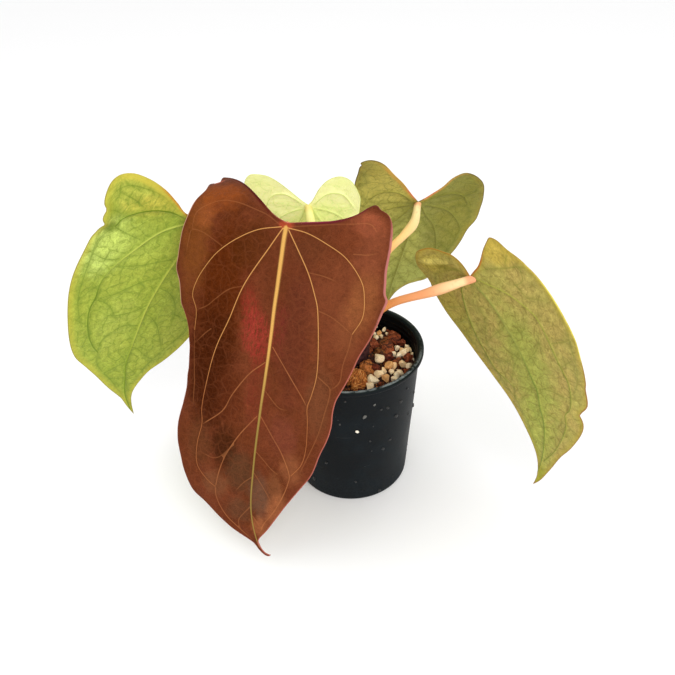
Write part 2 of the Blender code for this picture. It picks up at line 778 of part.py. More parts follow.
def make_stem():
    """The short stem: a foot in the mix, a swollen crown, and a sheath at each stalk's base."""
    profile = [
        (0, STEM_FOOT),
        (STEM_RADIUS - 1, STEM_FOOT),
        (STEM_RADIUS, STEM_FOOT + 1.5),
        (STEM_RADIUS, MIX_TOP - 6),
        (CROWN_RADIUS - 1, MIX_TOP + 1),
        (CROWN_RADIUS, MIX_TOP + 6),
        (CROWN_RADIUS - 1.5, CROWN_TOP - 4),
        (CROWN_RADIUS - 5, CROWN_TOP),
        (0, CROWN_TOP + 1),
    ]
    stem = lathe("stem", profile, STEM_SIDES, (STEM_X, STEM_Y))
    sheaths = []
    for leaf in LEAVES:
        path, _, _ = stalk_path(leaf)
        along = directions(path)
        stops = every(path[: round(SHEATH_LENGTH / GAP) + 1], SHEATH_RING_SPACING)
        radii = np.linspace(SHEATH_RADIUS, STALK_RADIUS + FOOT_FLARE + SHEATH_LIP, len(stops))
        sheaths.append(tube("sheath", path[stops], along[stops], radii, SHEATH_SIDES))
    combine(stem, sheaths, "UNION")
    smooth(stem, 50)
    paint(stem, (0.11, 0.03, 0.03), 0.55)


def build():
    clear_scene()
    make_pot()
    make_mix()
    for piece in TOP_DRESSING:
        make_top_dressing(*piece)
    make_stem()
    for leaf in LEAVES:
        make_stalk(leaf)
        make_blade(leaf)


build()
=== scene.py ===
"""Looks of a potted anthurium: leaf blades, stalks, stem, bark and perlite mix, nursery pot.

Sizes below are in millimetres, and meshes become metres when they are made. A leaf is drawn flat
first: u runs across it and v along its midrib from the stalk's joint, with the lobes at v < 0.
"""

import json
import math
from dataclasses import dataclass, field

import bmesh
import bpy
import numpy as np
from bpy.props import FloatProperty, FloatVectorProperty, IntProperty, PointerProperty
from mathutils import Matrix, Vector, noise
from mathutils.geometry import delaunay_2d_cdt

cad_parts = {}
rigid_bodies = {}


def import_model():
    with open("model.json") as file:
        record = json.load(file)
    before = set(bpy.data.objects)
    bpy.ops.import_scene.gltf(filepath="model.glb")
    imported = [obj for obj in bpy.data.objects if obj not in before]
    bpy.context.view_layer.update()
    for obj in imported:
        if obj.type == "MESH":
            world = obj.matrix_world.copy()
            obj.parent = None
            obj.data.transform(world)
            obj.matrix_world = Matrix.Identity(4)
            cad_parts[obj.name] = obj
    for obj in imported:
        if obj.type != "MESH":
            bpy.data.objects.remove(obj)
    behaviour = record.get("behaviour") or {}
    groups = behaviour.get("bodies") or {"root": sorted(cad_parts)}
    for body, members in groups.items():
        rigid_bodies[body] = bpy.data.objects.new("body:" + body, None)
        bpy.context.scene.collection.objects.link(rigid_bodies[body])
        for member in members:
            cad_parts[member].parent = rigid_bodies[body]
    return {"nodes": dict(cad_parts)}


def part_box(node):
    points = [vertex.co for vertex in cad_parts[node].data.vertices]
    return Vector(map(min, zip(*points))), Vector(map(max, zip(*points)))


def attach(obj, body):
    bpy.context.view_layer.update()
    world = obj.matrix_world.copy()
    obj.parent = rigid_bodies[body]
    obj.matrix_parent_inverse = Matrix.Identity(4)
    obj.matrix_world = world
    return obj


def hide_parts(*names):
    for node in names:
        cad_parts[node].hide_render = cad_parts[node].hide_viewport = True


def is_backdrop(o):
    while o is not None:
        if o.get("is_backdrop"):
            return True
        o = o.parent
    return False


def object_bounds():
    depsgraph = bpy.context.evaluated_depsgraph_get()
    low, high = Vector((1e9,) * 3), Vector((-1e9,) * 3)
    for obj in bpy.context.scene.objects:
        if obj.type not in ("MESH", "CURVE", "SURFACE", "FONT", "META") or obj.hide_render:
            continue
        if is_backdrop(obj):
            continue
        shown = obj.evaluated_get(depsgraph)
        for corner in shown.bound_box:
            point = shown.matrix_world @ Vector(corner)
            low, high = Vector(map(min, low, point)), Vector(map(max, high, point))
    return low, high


bl_info = {
    "name": "Potted Anthurium",
    "version": (1, 0, 0),
    "blender": (4, 5, 0),
    "location": "View3D > Sidebar > Anthurium",
    "description": "Builds the visible surfaces of a potted anthurium around its packed frame",
    "category": "Add Mesh",
}

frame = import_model()

MM = 0.001
_, POT_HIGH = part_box("pot")
BOX_LOW, BOX_HIGH = (np.array(corner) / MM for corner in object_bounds())

# Leaf blades. The skins' plan of a leaf counts in PLAN_UNIT.
BLADE_THICKNESS = 0.8
NOTCH = (0.0, -2.0)
LOBE_BEND_LENGTH = 16.0
FOLD_ROUNDING = 6.0
WAVE_HEIGHT = 2.0
WAVE_LENGTH = 75.0
WAVE_PHASES = (0.8, 3.6)
THIN_MARGIN = 0.9
EDGE_SHARE = 0.25
QUILT_REACH = 3.0
RIPPLE_HEIGHT = 0.35
RIPPLE_SCALE = 0.06
RIPPLE_MARGIN = 6.0
LEAST_DRAWN_IN = 0.9
PLAN_UNIT = 100.0

# Veins and the rows of points along them and along the margin
MIDRIB_RIDGE = 1.5
SIDE_RIDGE = 0.8
UPPER_RIDGE_SHARE = 0.4
RIDGE_LOSS = 0.7
RIDGE_START = 0.35
RIDGE_RISE = 14
SAMPLE_STEP = 0.4
FARTHEST = 8.0
VEIN_ROW = 3
VEIN_ROOM = 0.45
FOOT_ROOM = 0.24
MARGIN_DEPTHS = (0.3, 0.9)
MARGIN_ROOM = 0.22
GRID_SHARE = 1.08
GRID_ROOM_SHARE = 0.62
BATCH = 400

# Stem and stalks
STEM_X, STEM_Y = 4.0, 6.0
SHEATH_LENGTH = 30.0
STALK_RADIUS = 2.5
KNUCKLE_RADIUS = 3.4
KNUCKLE_FROM_BLADE = 20.0
KNUCKLE_LENGTH = 11.0
FOOT_FLARE = 0.7
FOOT_LENGTH = 12.0
STALK_STEP = 0.35
STALK_ROW = 3
REST_GAP = 0.35
STEM_ROUGHNESS = 0.35

# Pot
RIM_DEPTH = 3.6
WALL_TOP_RADIUS = 47.4
BASE_RADIUS = 40.4
WALL = 1.5
FLOOR = 3.2
FLOOR_RECESS = 1.6
DISC_RADIUS = 11.0
FOOT_RING = 30.0
DRAIN_HOLES = 8
DRAIN_RADIUS = 3.5
DRAIN_CIRCLE = 20.5
POT_HEIGHT = POT_HIGH.z / MM
RIM_RADIUS = POT_HIGH.x / MM
INNER_RINGS = (102.0, 98.0, 94.5)
RING_HALF_HEIGHT = 0.8
RING_DEPTH = 0.45
DUST_SPECKS = 60
DUST_RADII = np.array((1.0, 0.75, 0.45))

# Potting mix. A lump's radii, and how far its centre lies above the bed, are shares of its size.
MIX_TOP = 92.0
BED_SIDES = 200
BED_SPACING = 1.1
BED_REACH = 50
BED_WALL_GAP = 1.0
WALL_ROOM = 0.9
CHIP_ROOM = 6.0
CRUMB_ROOM = 3.5
STEM_CLEARANCE = 13.0
BARK_PIECE_CLEARANCE = 9.0
CHUNK_RADII = np.array((0.76, 0.62, 0.5))
CHUNK_RISE = 0.22
CHUNK_CUTS = 7
CHUNK_CLEARANCE = 0.75
GRAIN_RADII = (0.42, 0.62)
GRAIN_RISE = 0.3
GRAIN_CUTS = 9
GRAIN_CLEARANCE = 0.5
SPLINTER_RIDGES = 0.28
SPLINTER_SWELL = 0.15

# Perlite grains by heap: x, y, size, orange stain from 0 to 1 and rise above the mix.
GRAINS = {
    "perlite_front": [
        (20.1, -1.0, 7.0, 0.15, 2.2), (15.0, -22.5, 8.0, 0.1, 0.8), (19.0, -17.0, 6.5, 0.25, 1.6),
        (12.0, -26.5, 5.5, 0.2, 0.0), (26.0, -9.5, 7.5, 0.75, 1.4), (22.5, -12.5, 5.0, 0.3, 1.0),
        (30.0, -7.5, 5.0, 0.5, 0.8), (30.5, -17.0, 5.5, 0.0, 0.8), (23.5, -20.5, 5.5, 0.7, 1.0),
        (27.5, -13.5, 4.0, 0.2, 0.6), (33.5, -14.0, 5.0, 0.1, 0.6), (29.0, -21.0, 4.5, 0.05, 0.4),
        (25.0, -26.0, 4.0, 0.2, 0.2), (19.5, -29.5, 3.5, 0.1, 0.0), (36.0, -6.0, 6.0, 0.35, 0.8),
        (40.0, -9.0, 5.0, 0.1, 0.4),
    ],
    "perlite_side": [
        (33.5, 12.5, 4.6, 0.1, 0.8), (40.5, 12.8, 4.4, 0.2, 0.8), (37.5, 6.0, 5.4, 0.15, 1.2),
        (34.0, 3.0, 5.0, 0.0, 0.8), (43.0, 10.0, 3.8, 0.3, 0.6), (43.5, 5.0, 4.0, 0.2, 0.4),
        (36.5, 9.5, 4.4, 0.55, 1.2), (39.8, 8.6, 4.6, 0.4, 1.4), (31.0, 6.0, 3.6, 0.1, 0.6),
        (44.0, 0.0, 2.8, 0.0, 0.2),
    ],
    "perlite_back": [
        (22.5, 40.5, 3.0, 0.0, 0.8), (26.5, 34.5, 4.0, 0.15, 1.2), (18.5, 31.5, 4.4, 0.1, 0.8),
        (20.0, 25.5, 4.6, 0.1, 0.4), (22.8, 31.0, 4.4, 0.8, 1.2), (28.5, 29.5, 3.8, 0.2, 0.6),
        (19.0, 37.0, 3.6, 0.05, 0.8), (15.5, 35.0, 4.0, 0.1, 0.6), (23.8, 27.0, 3.4, 0.3, 0.6),
        (14.5, 28.5, 4.0, 0.15, 0.4),
    ],
}

# Larger bark chips: x, y, size and tint, from dark to orange-brown.
BARK_CHUNKS = [
    (27.5, 11.0, 10.0, 0.42), (33.5, 25.5, 10.5, 0.36), (26.5, 18.5, 7.5, 0.5),
    (12.5, -7.5, 9.0, 0.86), (22.0, 9.0, 6.5, 0.55), (40.0, 0.0, 6.0, 0.3),
    (37.5, 19.0, 7.0, 0.25), (17.0, 20.0, 8.0, 0.3), (17.5, -9.0, 6.0, 0.25),
    (33.0, -2.0, 6.5, 0.45), (38.0, -13.5, 6.0, 0.35), (10.0, -13.5, 7.0, 0.65),
    (14.0, 14.0, 5.0, 0.4), (27.0, 3.0, 6.5, 0.2), (5.0, 30.0, 9.0, 0.4), (-8.0, 24.0, 9.5, 0.3),
    (-22.0, 14.0, 10.0, 0.5), (-30.0, -2.0, 9.5, 0.35), (-20.0, -16.0, 10.0, 0.45),
    (-9.0, -30.0, 9.0, 0.6), (-28.0, 26.0, 9.0, 0.25), (-12.0, 38.0, 8.5, 0.5),
    (-36.0, 12.0, 8.0, 0.4), (-34.0, -18.0, 8.5, 0.3), (3.0, -38.0, 7.5, 0.5),
    (-15.0, 2.0, 8.0, 0.3), (32.0, 33.0, 5.5, 0.3), (-20.0, -34.0, 7.5, 0.35),
]

BARK_PIECE = (3.0, -19.0)
# Split bark: x, y, rise above the mix, half sizes, turn and tilt in degrees.
BARK_SPLINTERS = [
    (4.5, -20.0, 2.6, (6.5, 2.6, 2.4), 70, -18), (8.5, -19.0, 2.4, (6.0, 2.4, 2.2), 98, -12),
    (0.5, -18.0, 2.8, (6.5, 2.8, 2.6), 58, -8), (-4.5, -20.0, 2.0, (6.0, 3.0, 2.2), 40, 10),
    (5.0, -26.5, 1.4, (4.6, 2.0, 1.8), 20, 6), (1.0, -12.5, 3.0, (5.0, 2.4, 2.0), 120, 14),
]

# Marks on the pot's wall: turn in degrees, height, size and tint, from black to pale.
WALL_MARKS = [
    (-86, 71, 1.4, 1.0), (-80, 84, 1.5, 0.55), (-72, 93, 0.9, 0.6), (-66, 87, 1.0, 0.3),
    (-21, 78, 1.5, 0.1), (-46, 85, 1.4, 0.1), (-50, 74, 1.7, 0.05), (-55, 54, 1.2, 0.1),
    (-62, 48, 1.3, 0.05), (-63, 4, 1.5, 0.1), (-132, 13, 1.8, 0.1), (-115, 37, 1.3, 0.1),
    (-60, 86, 1.2, 0.0), (-95, 99, 1.0, 0.1), (-12, 60, 1.6, 0.05), (-30, 64, 1.1, 0.1),
    (-38, 92, 1.1, 0.1), (-75, 60, 0.9, 0.1), (-100, 78, 0.8, 0.4), (-88, 20, 1.0, 0.1),
]

# A stalk's colours by the blade, midway, at its foot and at its joint; the foot's colour is also
# painted as shade on the stalk's underside.
STALK_COLOURS = {
    "front": ("f2c290", "e39a5a", "c97a3e", "d0603c"),
    "right": ("fbd8a0", "f0a26c", "dd8f48", "e0764c"),
    "back_right": ("fbe4a4", "f6cd84", "e8a055", "e08050"),
    "back": ("f8f59c", "f4f08f", "e2dc78", "e8d070"),
    "left": ("f2c290", "e8a868", "cf8448", "d0603c"),
}
STALK_SLOTS = {
    "front": "stalk_coral",
    "right": "stalk_coral",
    "back_right": "stalk_coral",
    "back": "stalk_pale",
    "left": "stalk_coral",
}


def ink(code):
    """A linear colour from a hexadecimal screen colour."""
    screen = [int(code[k : k + 2], 16) / 255 for k in (0, 2, 4)]
    return tuple(c / 12.92 if c <= 0.04045 else ((c + 0.055) / 1.055) ** 2.4 for c in screen)


@dataclass
class Leaf:
    """One leaf: how it hangs and bends, its flat outline and its veins.

    The angles are in degrees: heading turns the blade round the vertical, pitch lowers it, roll
    turns it about its midrib, arch and sway are what it bends by down and sideways on the way to
    its tip, and lobe_bend is what its lobes bend by. A curl is its flat centre, reach and lift.
    Where strong is set, only that many of the fine veins show in full.
    """

    name: str
    slot: str
    joint: tuple
    heading: float
    pitch: float
    length: float
    arch: float
    sway: float
    roll: float
    fold: float
    lobe_bend: float
    half_width: float
    plus_side: list
    minus_side: list
    tip: tuple
    stalk: list
    raised: list
    strong: int = 0
    fine: list = field(default_factory=list)
    curls: list = field(default_factory=list)


# A raised vein: its half widths at the stalk and at its end, its flat points and, where its far
# colour starts early, by how much.
PLAIN_RAISED = [
    (0.6, 0.3, [(0.06, 0.01), (0.18, 0.1), (0.35, 0.2), (0.47, 0.33), (0.56, 0.48), (0.6, 0.6)]),
    (0.5, 0.3, [(0.1, 0.01), (0.3, 0.03), (0.5, 0.07), (0.66, 0.14), (0.78, 0.23), (0.76, 0.32)]),
    (0.4, 0.3, [(0.1, -0.02), (0.24, -0.07), (0.42, -0.1), (0.62, -0.08), (0.78, 0.02)]),
]
PLAIN_FINE = [
    [(0.0, 0.3), (0.12, 0.37), (0.3, 0.43), (0.5, 0.47)],
    [(0.0, 0.46), (0.14, 0.53), (0.32, 0.6), (0.52, 0.64)],
    [(0.0, 0.62), (0.12, 0.7), (0.28, 0.77), (0.36, 0.8)],
    [(0.0, 0.78), (0.1, 0.84), (0.2, 0.88)],
    [(0.6, 0.6), (0.54, 0.7), (0.42, 0.8), (0.26, 0.88), (0.08, 0.95)],
    [(0.76, 0.32), (0.72, 0.42), (0.66, 0.52), (0.6, 0.6)],
    [(0.35, 0.2), (0.48, 0.22), (0.64, 0.27), (0.76, 0.32)],
    [(0.47, 0.33), (0.58, 0.38), (0.72, 0.42)],
    [(0.5, 0.07), (0.6, 0.02), (0.78, 0.02)],
    [(0.12, 0.12), (0.24, 0.2), (0.4, 0.27)],
    [(0.1, 0.22), (0.24, 0.29), (0.44, 0.34)],
]

LEAVES = [
    Leaf(
        name="front",
        slot="leaf_bronze",
        joint=(-34, -11, 203),
        heading=-115.5,
        pitch=56.5,
        length=210,
        arch=18,
        sway=-8,
        roll=0,
        fold=0.10,
        lobe_bend=62,
        half_width=66,
        plus_side=[
            (9, -5), (20, -12), (38, -25), (52, -33), (59, -36.5), (62.5, -37.5), (63.5, -36),
            (62.5, -32.5), (63.5, -30.5), (66, -31), (67, -28), (65, -23), (62, -14), (64, -4),
            (66, 4), (68, 12), (69, 20), (70, 28), (71, 36), (68, 43), (66, 50), (64, 56),
            (60, 61), (57, 66), (55, 71), (54, 76), (53, 81), (53, 92), (54, 98), (55, 106),
            (58, 116), (62, 129), (62, 140), (59, 151), (56, 162), (51, 173), (42, 180),
            (33, 188), (23, 195), (12, 200.5), (8, 203), (5, 207), (1.5, 210), (-1.5, 210.6),
        ],
        minus_side=[
            (-11, -4), (-17, -5), (-23, -6), (-29, -7), (-36, -9), (-41, -12), (-45, -17),
            (-47.5, -20.5), (-49.5, -20.5), (-52, -18.5), (-56.5, -17.5), (-60.5, -13),
            (-63, -7), (-64, 0), (-64, 6), (-64, 15), (-65, 22), (-66, 28), (-68, 32),
            (-67, 38), (-65, 47), (-62, 56), (-57, 67), (-54, 76), (-51, 84), (-48, 91),
            (-46, 96), (-45, 103), (-45, 112), (-43, 121), (-39, 131), (-34, 145), (-26, 157),
            (-16, 171), (-3, 190), (3.5, 198), (5, 201.5), (3.5, 205), (1, 208), (-1.5, 209),
        ],
        tip=(-3.5, 209),
        stalk=[(1, 4, 98), (-5, 1, 120), (-13, 3, 150), (-22, 4, 178)],
        raised=[
            (2.2, 0.6, [
                (0, 1), (-1, 31), (-1, 52), (-1, 69), (0, 89), (2, 112), (4, 132), (6, 150),
                (8, 171), (8, 186), (6, 199), (4, 205),
            ]),
            (0.52, 0.3, [
                (2, 2), (8, 14), (20, 37), (27, 58), (34, 77), (39, 97), (43, 116), (43, 127),
                (46, 140), (46, 154), (39, 163), (33, 167),
            ]),
            (0.44, 0.28, [
                (3, 1), (17, 5), (29, 12), (39, 20), (46, 28), (53, 39), (56, 49), (51.5, 58),
                (50.5, 70),
            ]),
            (0.52, 0.3, [
                (-2, 2), (-10, 12), (-19, 24), (-25, 35), (-29, 45), (-32, 63), (-33, 82),
                (-31, 95), (-29, 103), (-30, 113), (-30, 128), (-27, 140), (-20, 149),
            ]),
            (0.44, 0.28, [
                (-2, 1), (-14, 2), (-27, 6), (-40, 12), (-51, 23), (-55, 33), (-56, 44),
                (-51.5, 54.5),
            ]),
        ],
        strong=4,
        fine=[
            [(1, 81), (11, 90), (21, 104), (28, 116), (42, 127)],
            [(-3, 71), (-14, 84), (-24, 96), (-29, 103)],
            [(4, 115), (17, 131), (27, 148), (33, 167), (32, 177), (27, 186), (20, 192), (9, 200)],
            [
                (2, 114), (-6, 125), (-14, 136), (-19, 148), (-18, 155), (-15, 163), (-11, 171),
                (-6, 179), (0, 187), (3, 194),
            ],
            [(4, 0), (13, -4), (22, -6), (33, -8), (44, -8), (53, -4), (60, 2), (61, 12)],
            [(-3, 0), (-24, -4), (-40, -6), (-50, -8), (-56, -4)],
            [(20.5, 38.5), (30, 42), (38, 48.5), (44, 54), (51.5, 58)],
            [(50.5, 70), (49.5, 79), (48.5, 98.5), (50, 116)],
            [(38.5, 18), (46.5, 14.5), (54, 12), (61, 12), (62.5, 18.5), (63.5, 26)],
            [(39, 67), (43, 70.5), (49, 77)],
            [(-29, 44.5), (-37, 46.5), (-44.5, 50), (-51.5, 54.5)],
            [(-51.5, 54.5), (-50.5, 63), (-48, 73.5), (-47, 84), (-42, 90)],
            [(-20, 24), (-29, 24.5), (-37, 26)],
            [(-44, 9), (-52, 8), (-57.5, 6)],
            [(-34, 83.5), (-38, 86), (-42, 90.5), (-40, 105), (-36, 122), (-26, 146)],
            [(0, 98), (-9.5, 106.5), (-16, 107.5)],
            [(4, 138), (-6, 147), (-12, 150.5)],
            [(6, 152), (-2.5, 164), (-6.5, 170.5)],
            [(7.5, 156), (13, 160.5), (19, 167.5)],
            [(8.5, 176), (17, 186), (18, 191), (16, 195.5)],
            [(8.5, 181), (4.5, 187), (1, 191.5)],
            [(19.5, 136.5), (31.5, 147), (41.5, 146)],
        ],
        curls=[(-40, -10, 13, 2.5), (-48, -19, 7, 2.0), (64, -31, 5, -2.0), (48, -28, 15, 1.5)],
    ),
    Leaf(
        name="right",
        slot="leaf_olive",
        joint=(74, -18, 167),
        heading=-34.5,
        pitch=54.5,
        length=168.5,
        arch=10,
        sway=-22,
        roll=72,
        fold=0.08,
        lobe_bend=20,
        half_width=52,
        plus_side=[
            (5.5, -4), (12, -6), (23, -11), (31, -13.5), (34.5, -14), (37, -11.5), (39, -7),
            (47, 0), (54, 15), (60, 27), (62.5, 33), (63.5, 40), (61, 52), (57, 63), (54, 69),
            (51, 80), (45.5, 86), (43.5, 88.5), (44.5, 90.5), (45, 95), (42, 102), (33, 115),
            (23, 128), (13, 146), (6, 159.5),
        ],
        minus_side=[
            (0, -12), (-2, -19), (-6, -24), (-11, -30), (-16, -33.5), (-24, -36), (-31, -33),
            (-37, -28), (-40, -17), (-41, -4), (-40, 12), (-38, 31), (-32, 53), (-21, 74),
            (-10, 94), (-2, 114), (3, 130), (4.5, 142), (3.5, 155.5),
        ],
        tip=(0, 168.5),
        stalk=[(9, 3, 98), (12, -2, 118), (17, -7, 136), (29, -8.5, 146), (50, -12, 154.5)],
        raised=[
            (0.7, 0.4, [
                (0, 2), (4, 9.5), (7.5, 19), (9.5, 28), (11, 38), (13, 46.5), (14.5, 58),
                (15, 69.5), (16, 78.5), (15, 89.5), (15, 102.5), (12, 121), (7, 143), (2, 158),
            ]),
            (0.5, 0.32, [
                (3, 0), (11, 5), (20.5, 11), (28, 17.5), (33, 22.5), (37.5, 28), (40.5, 39.5),
                (42, 55), (43, 65.5), (40, 79.5), (37, 86.5), (33, 91), (31.5, 101), (22, 120),
                (10, 138),
            ]),
            (0.6, 0.35, [
                (-3, 0), (-12, 4), (-18, 17.5), (-20.5, 31), (-21, 44), (-19, 56), (-15, 68.5),
                (-8.5, 75), (-3, 80),
            ], 60),
        ],
        fine=[
            [(2, -1), (10, -3), (21, -2.5), (30.5, -1), (40.5, -0.5), (48, 1)],
            [(-2, -2), (-8, -10), (-16, -12), (-27, -16), (-33, -10), (-38, 4)],
            [(41, 0.5), (38, 7), (28, 9.5)],
            [(36, -5), (30, -1.5)],
            [(31.5, 8), (35.5, 16), (43, 17.5), (50.5, 19)],
            [(48, 1), (50.5, 9), (55.5, 21), (59, 31), (58.5, 40), (56, 52), (50, 65), (43, 75)],
            [(-15, 47.5), (-3.5, 40), (10, 32.5)],
            [(-15, 59), (-3, 60), (5.5, 55.5), (13, 50)],
            [(-3, 74.5), (4, 61.5), (13, 51.5)],
            [(-3, 78), (-4, 86.5), (-2.5, 95.5), (2, 104.5), (9, 102), (15, 89.5)],
            [(0.5, 89), (11.5, 77.5), (15, 73)],
            [(-38, 4), (-36, 26.5), (-32, 41), (-24, 54), (-18, 65), (-10, 79.5), (-3, 93)],
            [(-3, 93), (1.5, 107.5), (4, 125), (7, 138)],
            [(-36.5, 17.5), (-26.5, 18.5), (-19.5, 17.5)],
            [(-35, 32.5), (-21.5, 28)],
            [(-32, 42.5), (-22, 37.5)],
            [(16, 76.5), (27.5, 76), (34.5, 78.5), (40, 79)],
            [(16, 92), (25.5, 97), (32, 97)],
            [(14.5, 58), (28, 47), (34.5, 36.5)],
            [(-5.5, 20), (-6.5, 31.5), (-12.5, 39.5)],
            [(13.5, 109.5), (19, 114.5), (22, 120)],
            [(11, 38), (22, 36), (30, 26)],
            [(43, 56), (50, 52), (57, 48)],
            [(42, 42), (50, 40), (58, 38)],
        ],
        curls=[(-27, -30, 13, -3.5), (36, -9, 8, 1.5), (60, 30, 16, -1.5)],
    ),
    Leaf(
        name="back_right",
        slot="leaf_olive",
        joint=(52, 74, 173),
        heading=116,
        pitch=64,
        length=120,
        arch=10,
        sway=0,
        roll=-17,
        fold=0.08,
        lobe_bend=12,
        half_width=50,
        plus_side=[
            (4, -6), (8, -12), (12, -19), (15, -28), (20, -34), (25, -35), (33, -32), (40, -25),
            (47, -8), (50, 5), (51, 18), (47, 29), (45, 42), (42, 57), (36, 76), (30, 88),
            (22, 91), (14, 94), (7, 101), (3, 110),
        ],
        minus_side=[
            (-9, -12), (-19, -24), (-29, -35), (-38, -44), (-46, -49), (-51, -50.7),
            (-54.5, -49.5), (-55.5, -47.5), (-54, -45), (-53.5, -40), (-51.5, -30), (-50, -18),
            (-47, -6), (-42, 12), (-34, 36), (-27, 58), (-19, 80), (-9, 100),
        ],
        tip=(0, 120),
        stalk=[
            (8, 9, 98), (9, 16, 120), (15, 25, 142), (27, 34, 157), (40, 46, 163.5), (48.5, 60, 166),
        ],
        raised=[(1.0, 0.4, [(0, 2), (2, 30), (2, 67), (1, 90), (0, 113)])],
        fine=[
            [(2, -1), (17, -1.5), (32, -7.5), (37.5, -17.5)],
            [(18.5, -11.5), (31, -10), (36, -15)],
            [(31.5, 2.5), (40.5, 6), (44.5, 16.5)],
            [(-1, -0.5), (-15.5, -1), (-30.5, -0.5), (-42, -6.5)],
            [(-50.5, -34), (-43, -21.5), (-46, -16.5)],
        ],
        curls=[(-30, -33, 16, -2.5), (24, -31, 12, 2.0), (-53, -46, 6, -1.5)],
    ),
    Leaf(
        name="back",
        slot="leaf_lime",
        joint=(-23, 48, 186),
        heading=88,
        pitch=71,
        length=120,
        arch=10,
        sway=0,
        roll=0,
        fold=0.08,
        lobe_bend=0,
        half_width=38,
        plus_side=[
            (3, -6), (8, -16), (14, -23), (21, -26), (27, -24), (31, -18), (34, -8), (34, 0),
            (33, 11), (33, 24), (30, 46), (25, 68), (18, 88), (8, 108),
        ],
        minus_side=[
            (-4, -6), (-9, -12), (-16, -20), (-23, -26), (-30, -28), (-36, -27), (-40, -18),
            (-38, 0), (-35, 22), (-32, 44), (-27, 66), (-19, 88), (-9, 108),
        ],
        tip=(0, 120),
        stalk=[(2, 10, 98), (-3, 17, 124), (-12, 25, 150), (-20, 36, 171)],
        raised=[(1.0, 0.4, [(0, 2), (0, 30), (0, 60), (0, 90), (0, 113)])],
        fine=[
            [(-3, 0), (-9.5, -1), (-18.5, -4), (-30, -5)],
            [(2, 0), (11.5, 0.5), (20, 2.5), (31, 1)],
        ],
    ),
    Leaf(
        name="left",
        slot="leaf_green",
        joint=(-91, 26, 189),
        heading=186.5,
        pitch=56,
        length=176,
        arch=10,
        sway=10,
        roll=-58,
        fold=0.06,
        lobe_bend=10,
        half_width=62,
        plus_side=[
            (8, -5), (18, -15), (28, -18), (36, -12), (40, 3), (42, 27), (42, 52), (41, 76),
            (38, 96), (33, 106), (26, 116), (17, 125), (7, 132), (1, 140), (-3, 148), (-4, 155),
            (-3, 163),
        ],
        minus_side=[
            (-13, -4), (-23, -9), (-35, -14), (-46, -17), (-55, -18), (-62, -17.5), (-68, -15),
            (-71, -11), (-71, -6), (-69.5, -2), (-67, 0), (-68, 3), (-67.5, 5.5), (-65, 8),
            (-66.5, 10), (-67.5, 14), (-69, 20), (-68.5, 40), (-66, 64), (-61, 86), (-53, 104),
            (-42.5, 116.5), (-33.5, 127), (-23.5, 140), (-14, 151.5), (-11, 156), (-6, 165.5),
        ],
        tip=(0, 176),
        stalk=[(-1, 7, 98), (-10, 11, 120), (-36, 16, 154), (-66, 14, 178)],
        raised=[
            (0.9, 0.45, [
                (-1, 2), (-2, 15), (-4, 29.5), (-6.5, 43.5), (-9.5, 61), (-11, 76), (-12, 93),
                (-13, 109), (-13.5, 121), (-12, 132.5), (-10, 149), (-4, 168),
            ]),
            (1.0, 0.4, [
                (-4, 1), (-11.5, 3.5), (-22, 9), (-30, 16.5), (-36.5, 25), (-42.5, 33.5),
                (-47, 42), (-49, 51), (-49, 60), (-51, 67.5), (-50.5, 76.5), (-47, 88),
                (-42, 97.5), (-37, 104),
            ], 45),
            # This lobe vein takes its darker far colour early: painted shade along its raised fold.
            (0.6, 0.35, [
                (-4, 0), (-12.5, -1), (-23.5, -3), (-36, -2.5), (-47, 0), (-53.5, 4.5), (-56, 10.5),
            ], 100),
        ],
        fine=[
            [(-20.5, -5), (-36, -11), (-49, -12.5), (-59, -12), (-65, -9), (-67, -5), (-66, 0)],
            [(-63.5, -8), (-52, -6), (-42, -2.5)],
            [(-66, 0), (-60.5, 0), (-53, 3)],
            [(-56, 10.5), (-46, 14), (-34.5, 17.5)],
            [(-11, 46), (-19, 48), (-25.5, 51.5), (-32, 55.5), (-39, 59), (-48, 61)],
            [(-67, 26), (-61.5, 28.5), (-53, 32), (-43, 32.5)],
            [(-56, 10.5), (-61, 16), (-63.5, 22), (-62, 35), (-61, 48), (-60, 62), (-56, 76)],
            [(-50, 61.5), (-42, 64), (-36, 69), (-31, 77)],
            [(-11, 68), (-19, 72.5), (-29, 74.5), (-38, 74)],
            [(-13, 85), (-23, 84), (-31, 88.5), (-36.5, 94.5), (-37, 104), (-35, 115), (-29, 125)],
            [(-29, 125), (-23, 132), (-17, 142), (-12, 150)],
            [(-29, 125), (-23.5, 122.5), (-18.5, 119.5), (-13, 116.5)],
            [(-11, 76), (-5.5, 78), (2.5, 87.5), (8.5, 101), (13, 114)],
            [(-7, 53), (3, 58.5), (10.5, 68), (14, 79), (13.5, 92)],
            [(-13, 104), (-7.5, 107), (0.5, 115.5), (8, 121)],
            [(30, 88), (27.5, 95.5), (24, 103), (17.5, 109.5), (10, 117.5), (2.5, 126), (-3, 136)],
            [(-13, 123), (-8, 127), (-2.5, 133.5)],
            [(-4, 29.5), (-16, 33), (-27, 36), (-37, 37), (-44, 37)],
            [(14, 79), (20.5, 82.5), (29, 88)],
            [(-5, 36), (6, 44), (18, 52), (30, 58)],
            [(-3, 18), (10, 22), (22, 32), (31, 44), (33, 60), (30, 88)],
            [(2, 2), (12, 4), (24, 12), (32, 26), (36, 44)],
            [(2, -1), (12, -5), (24, -8), (31, -6)],
            [(-49, 51), (-55, 56), (-60, 62)],
            [(-66, 8), (-61, 9.5), (-56, 10.5)],
        ],
        curls=[(-66, 6, 6, -2.5), (-58, 14, 12, 1.6), (-50, -16, 18, -2.0), (22, -14, 10, -1.5)],
    ),
]


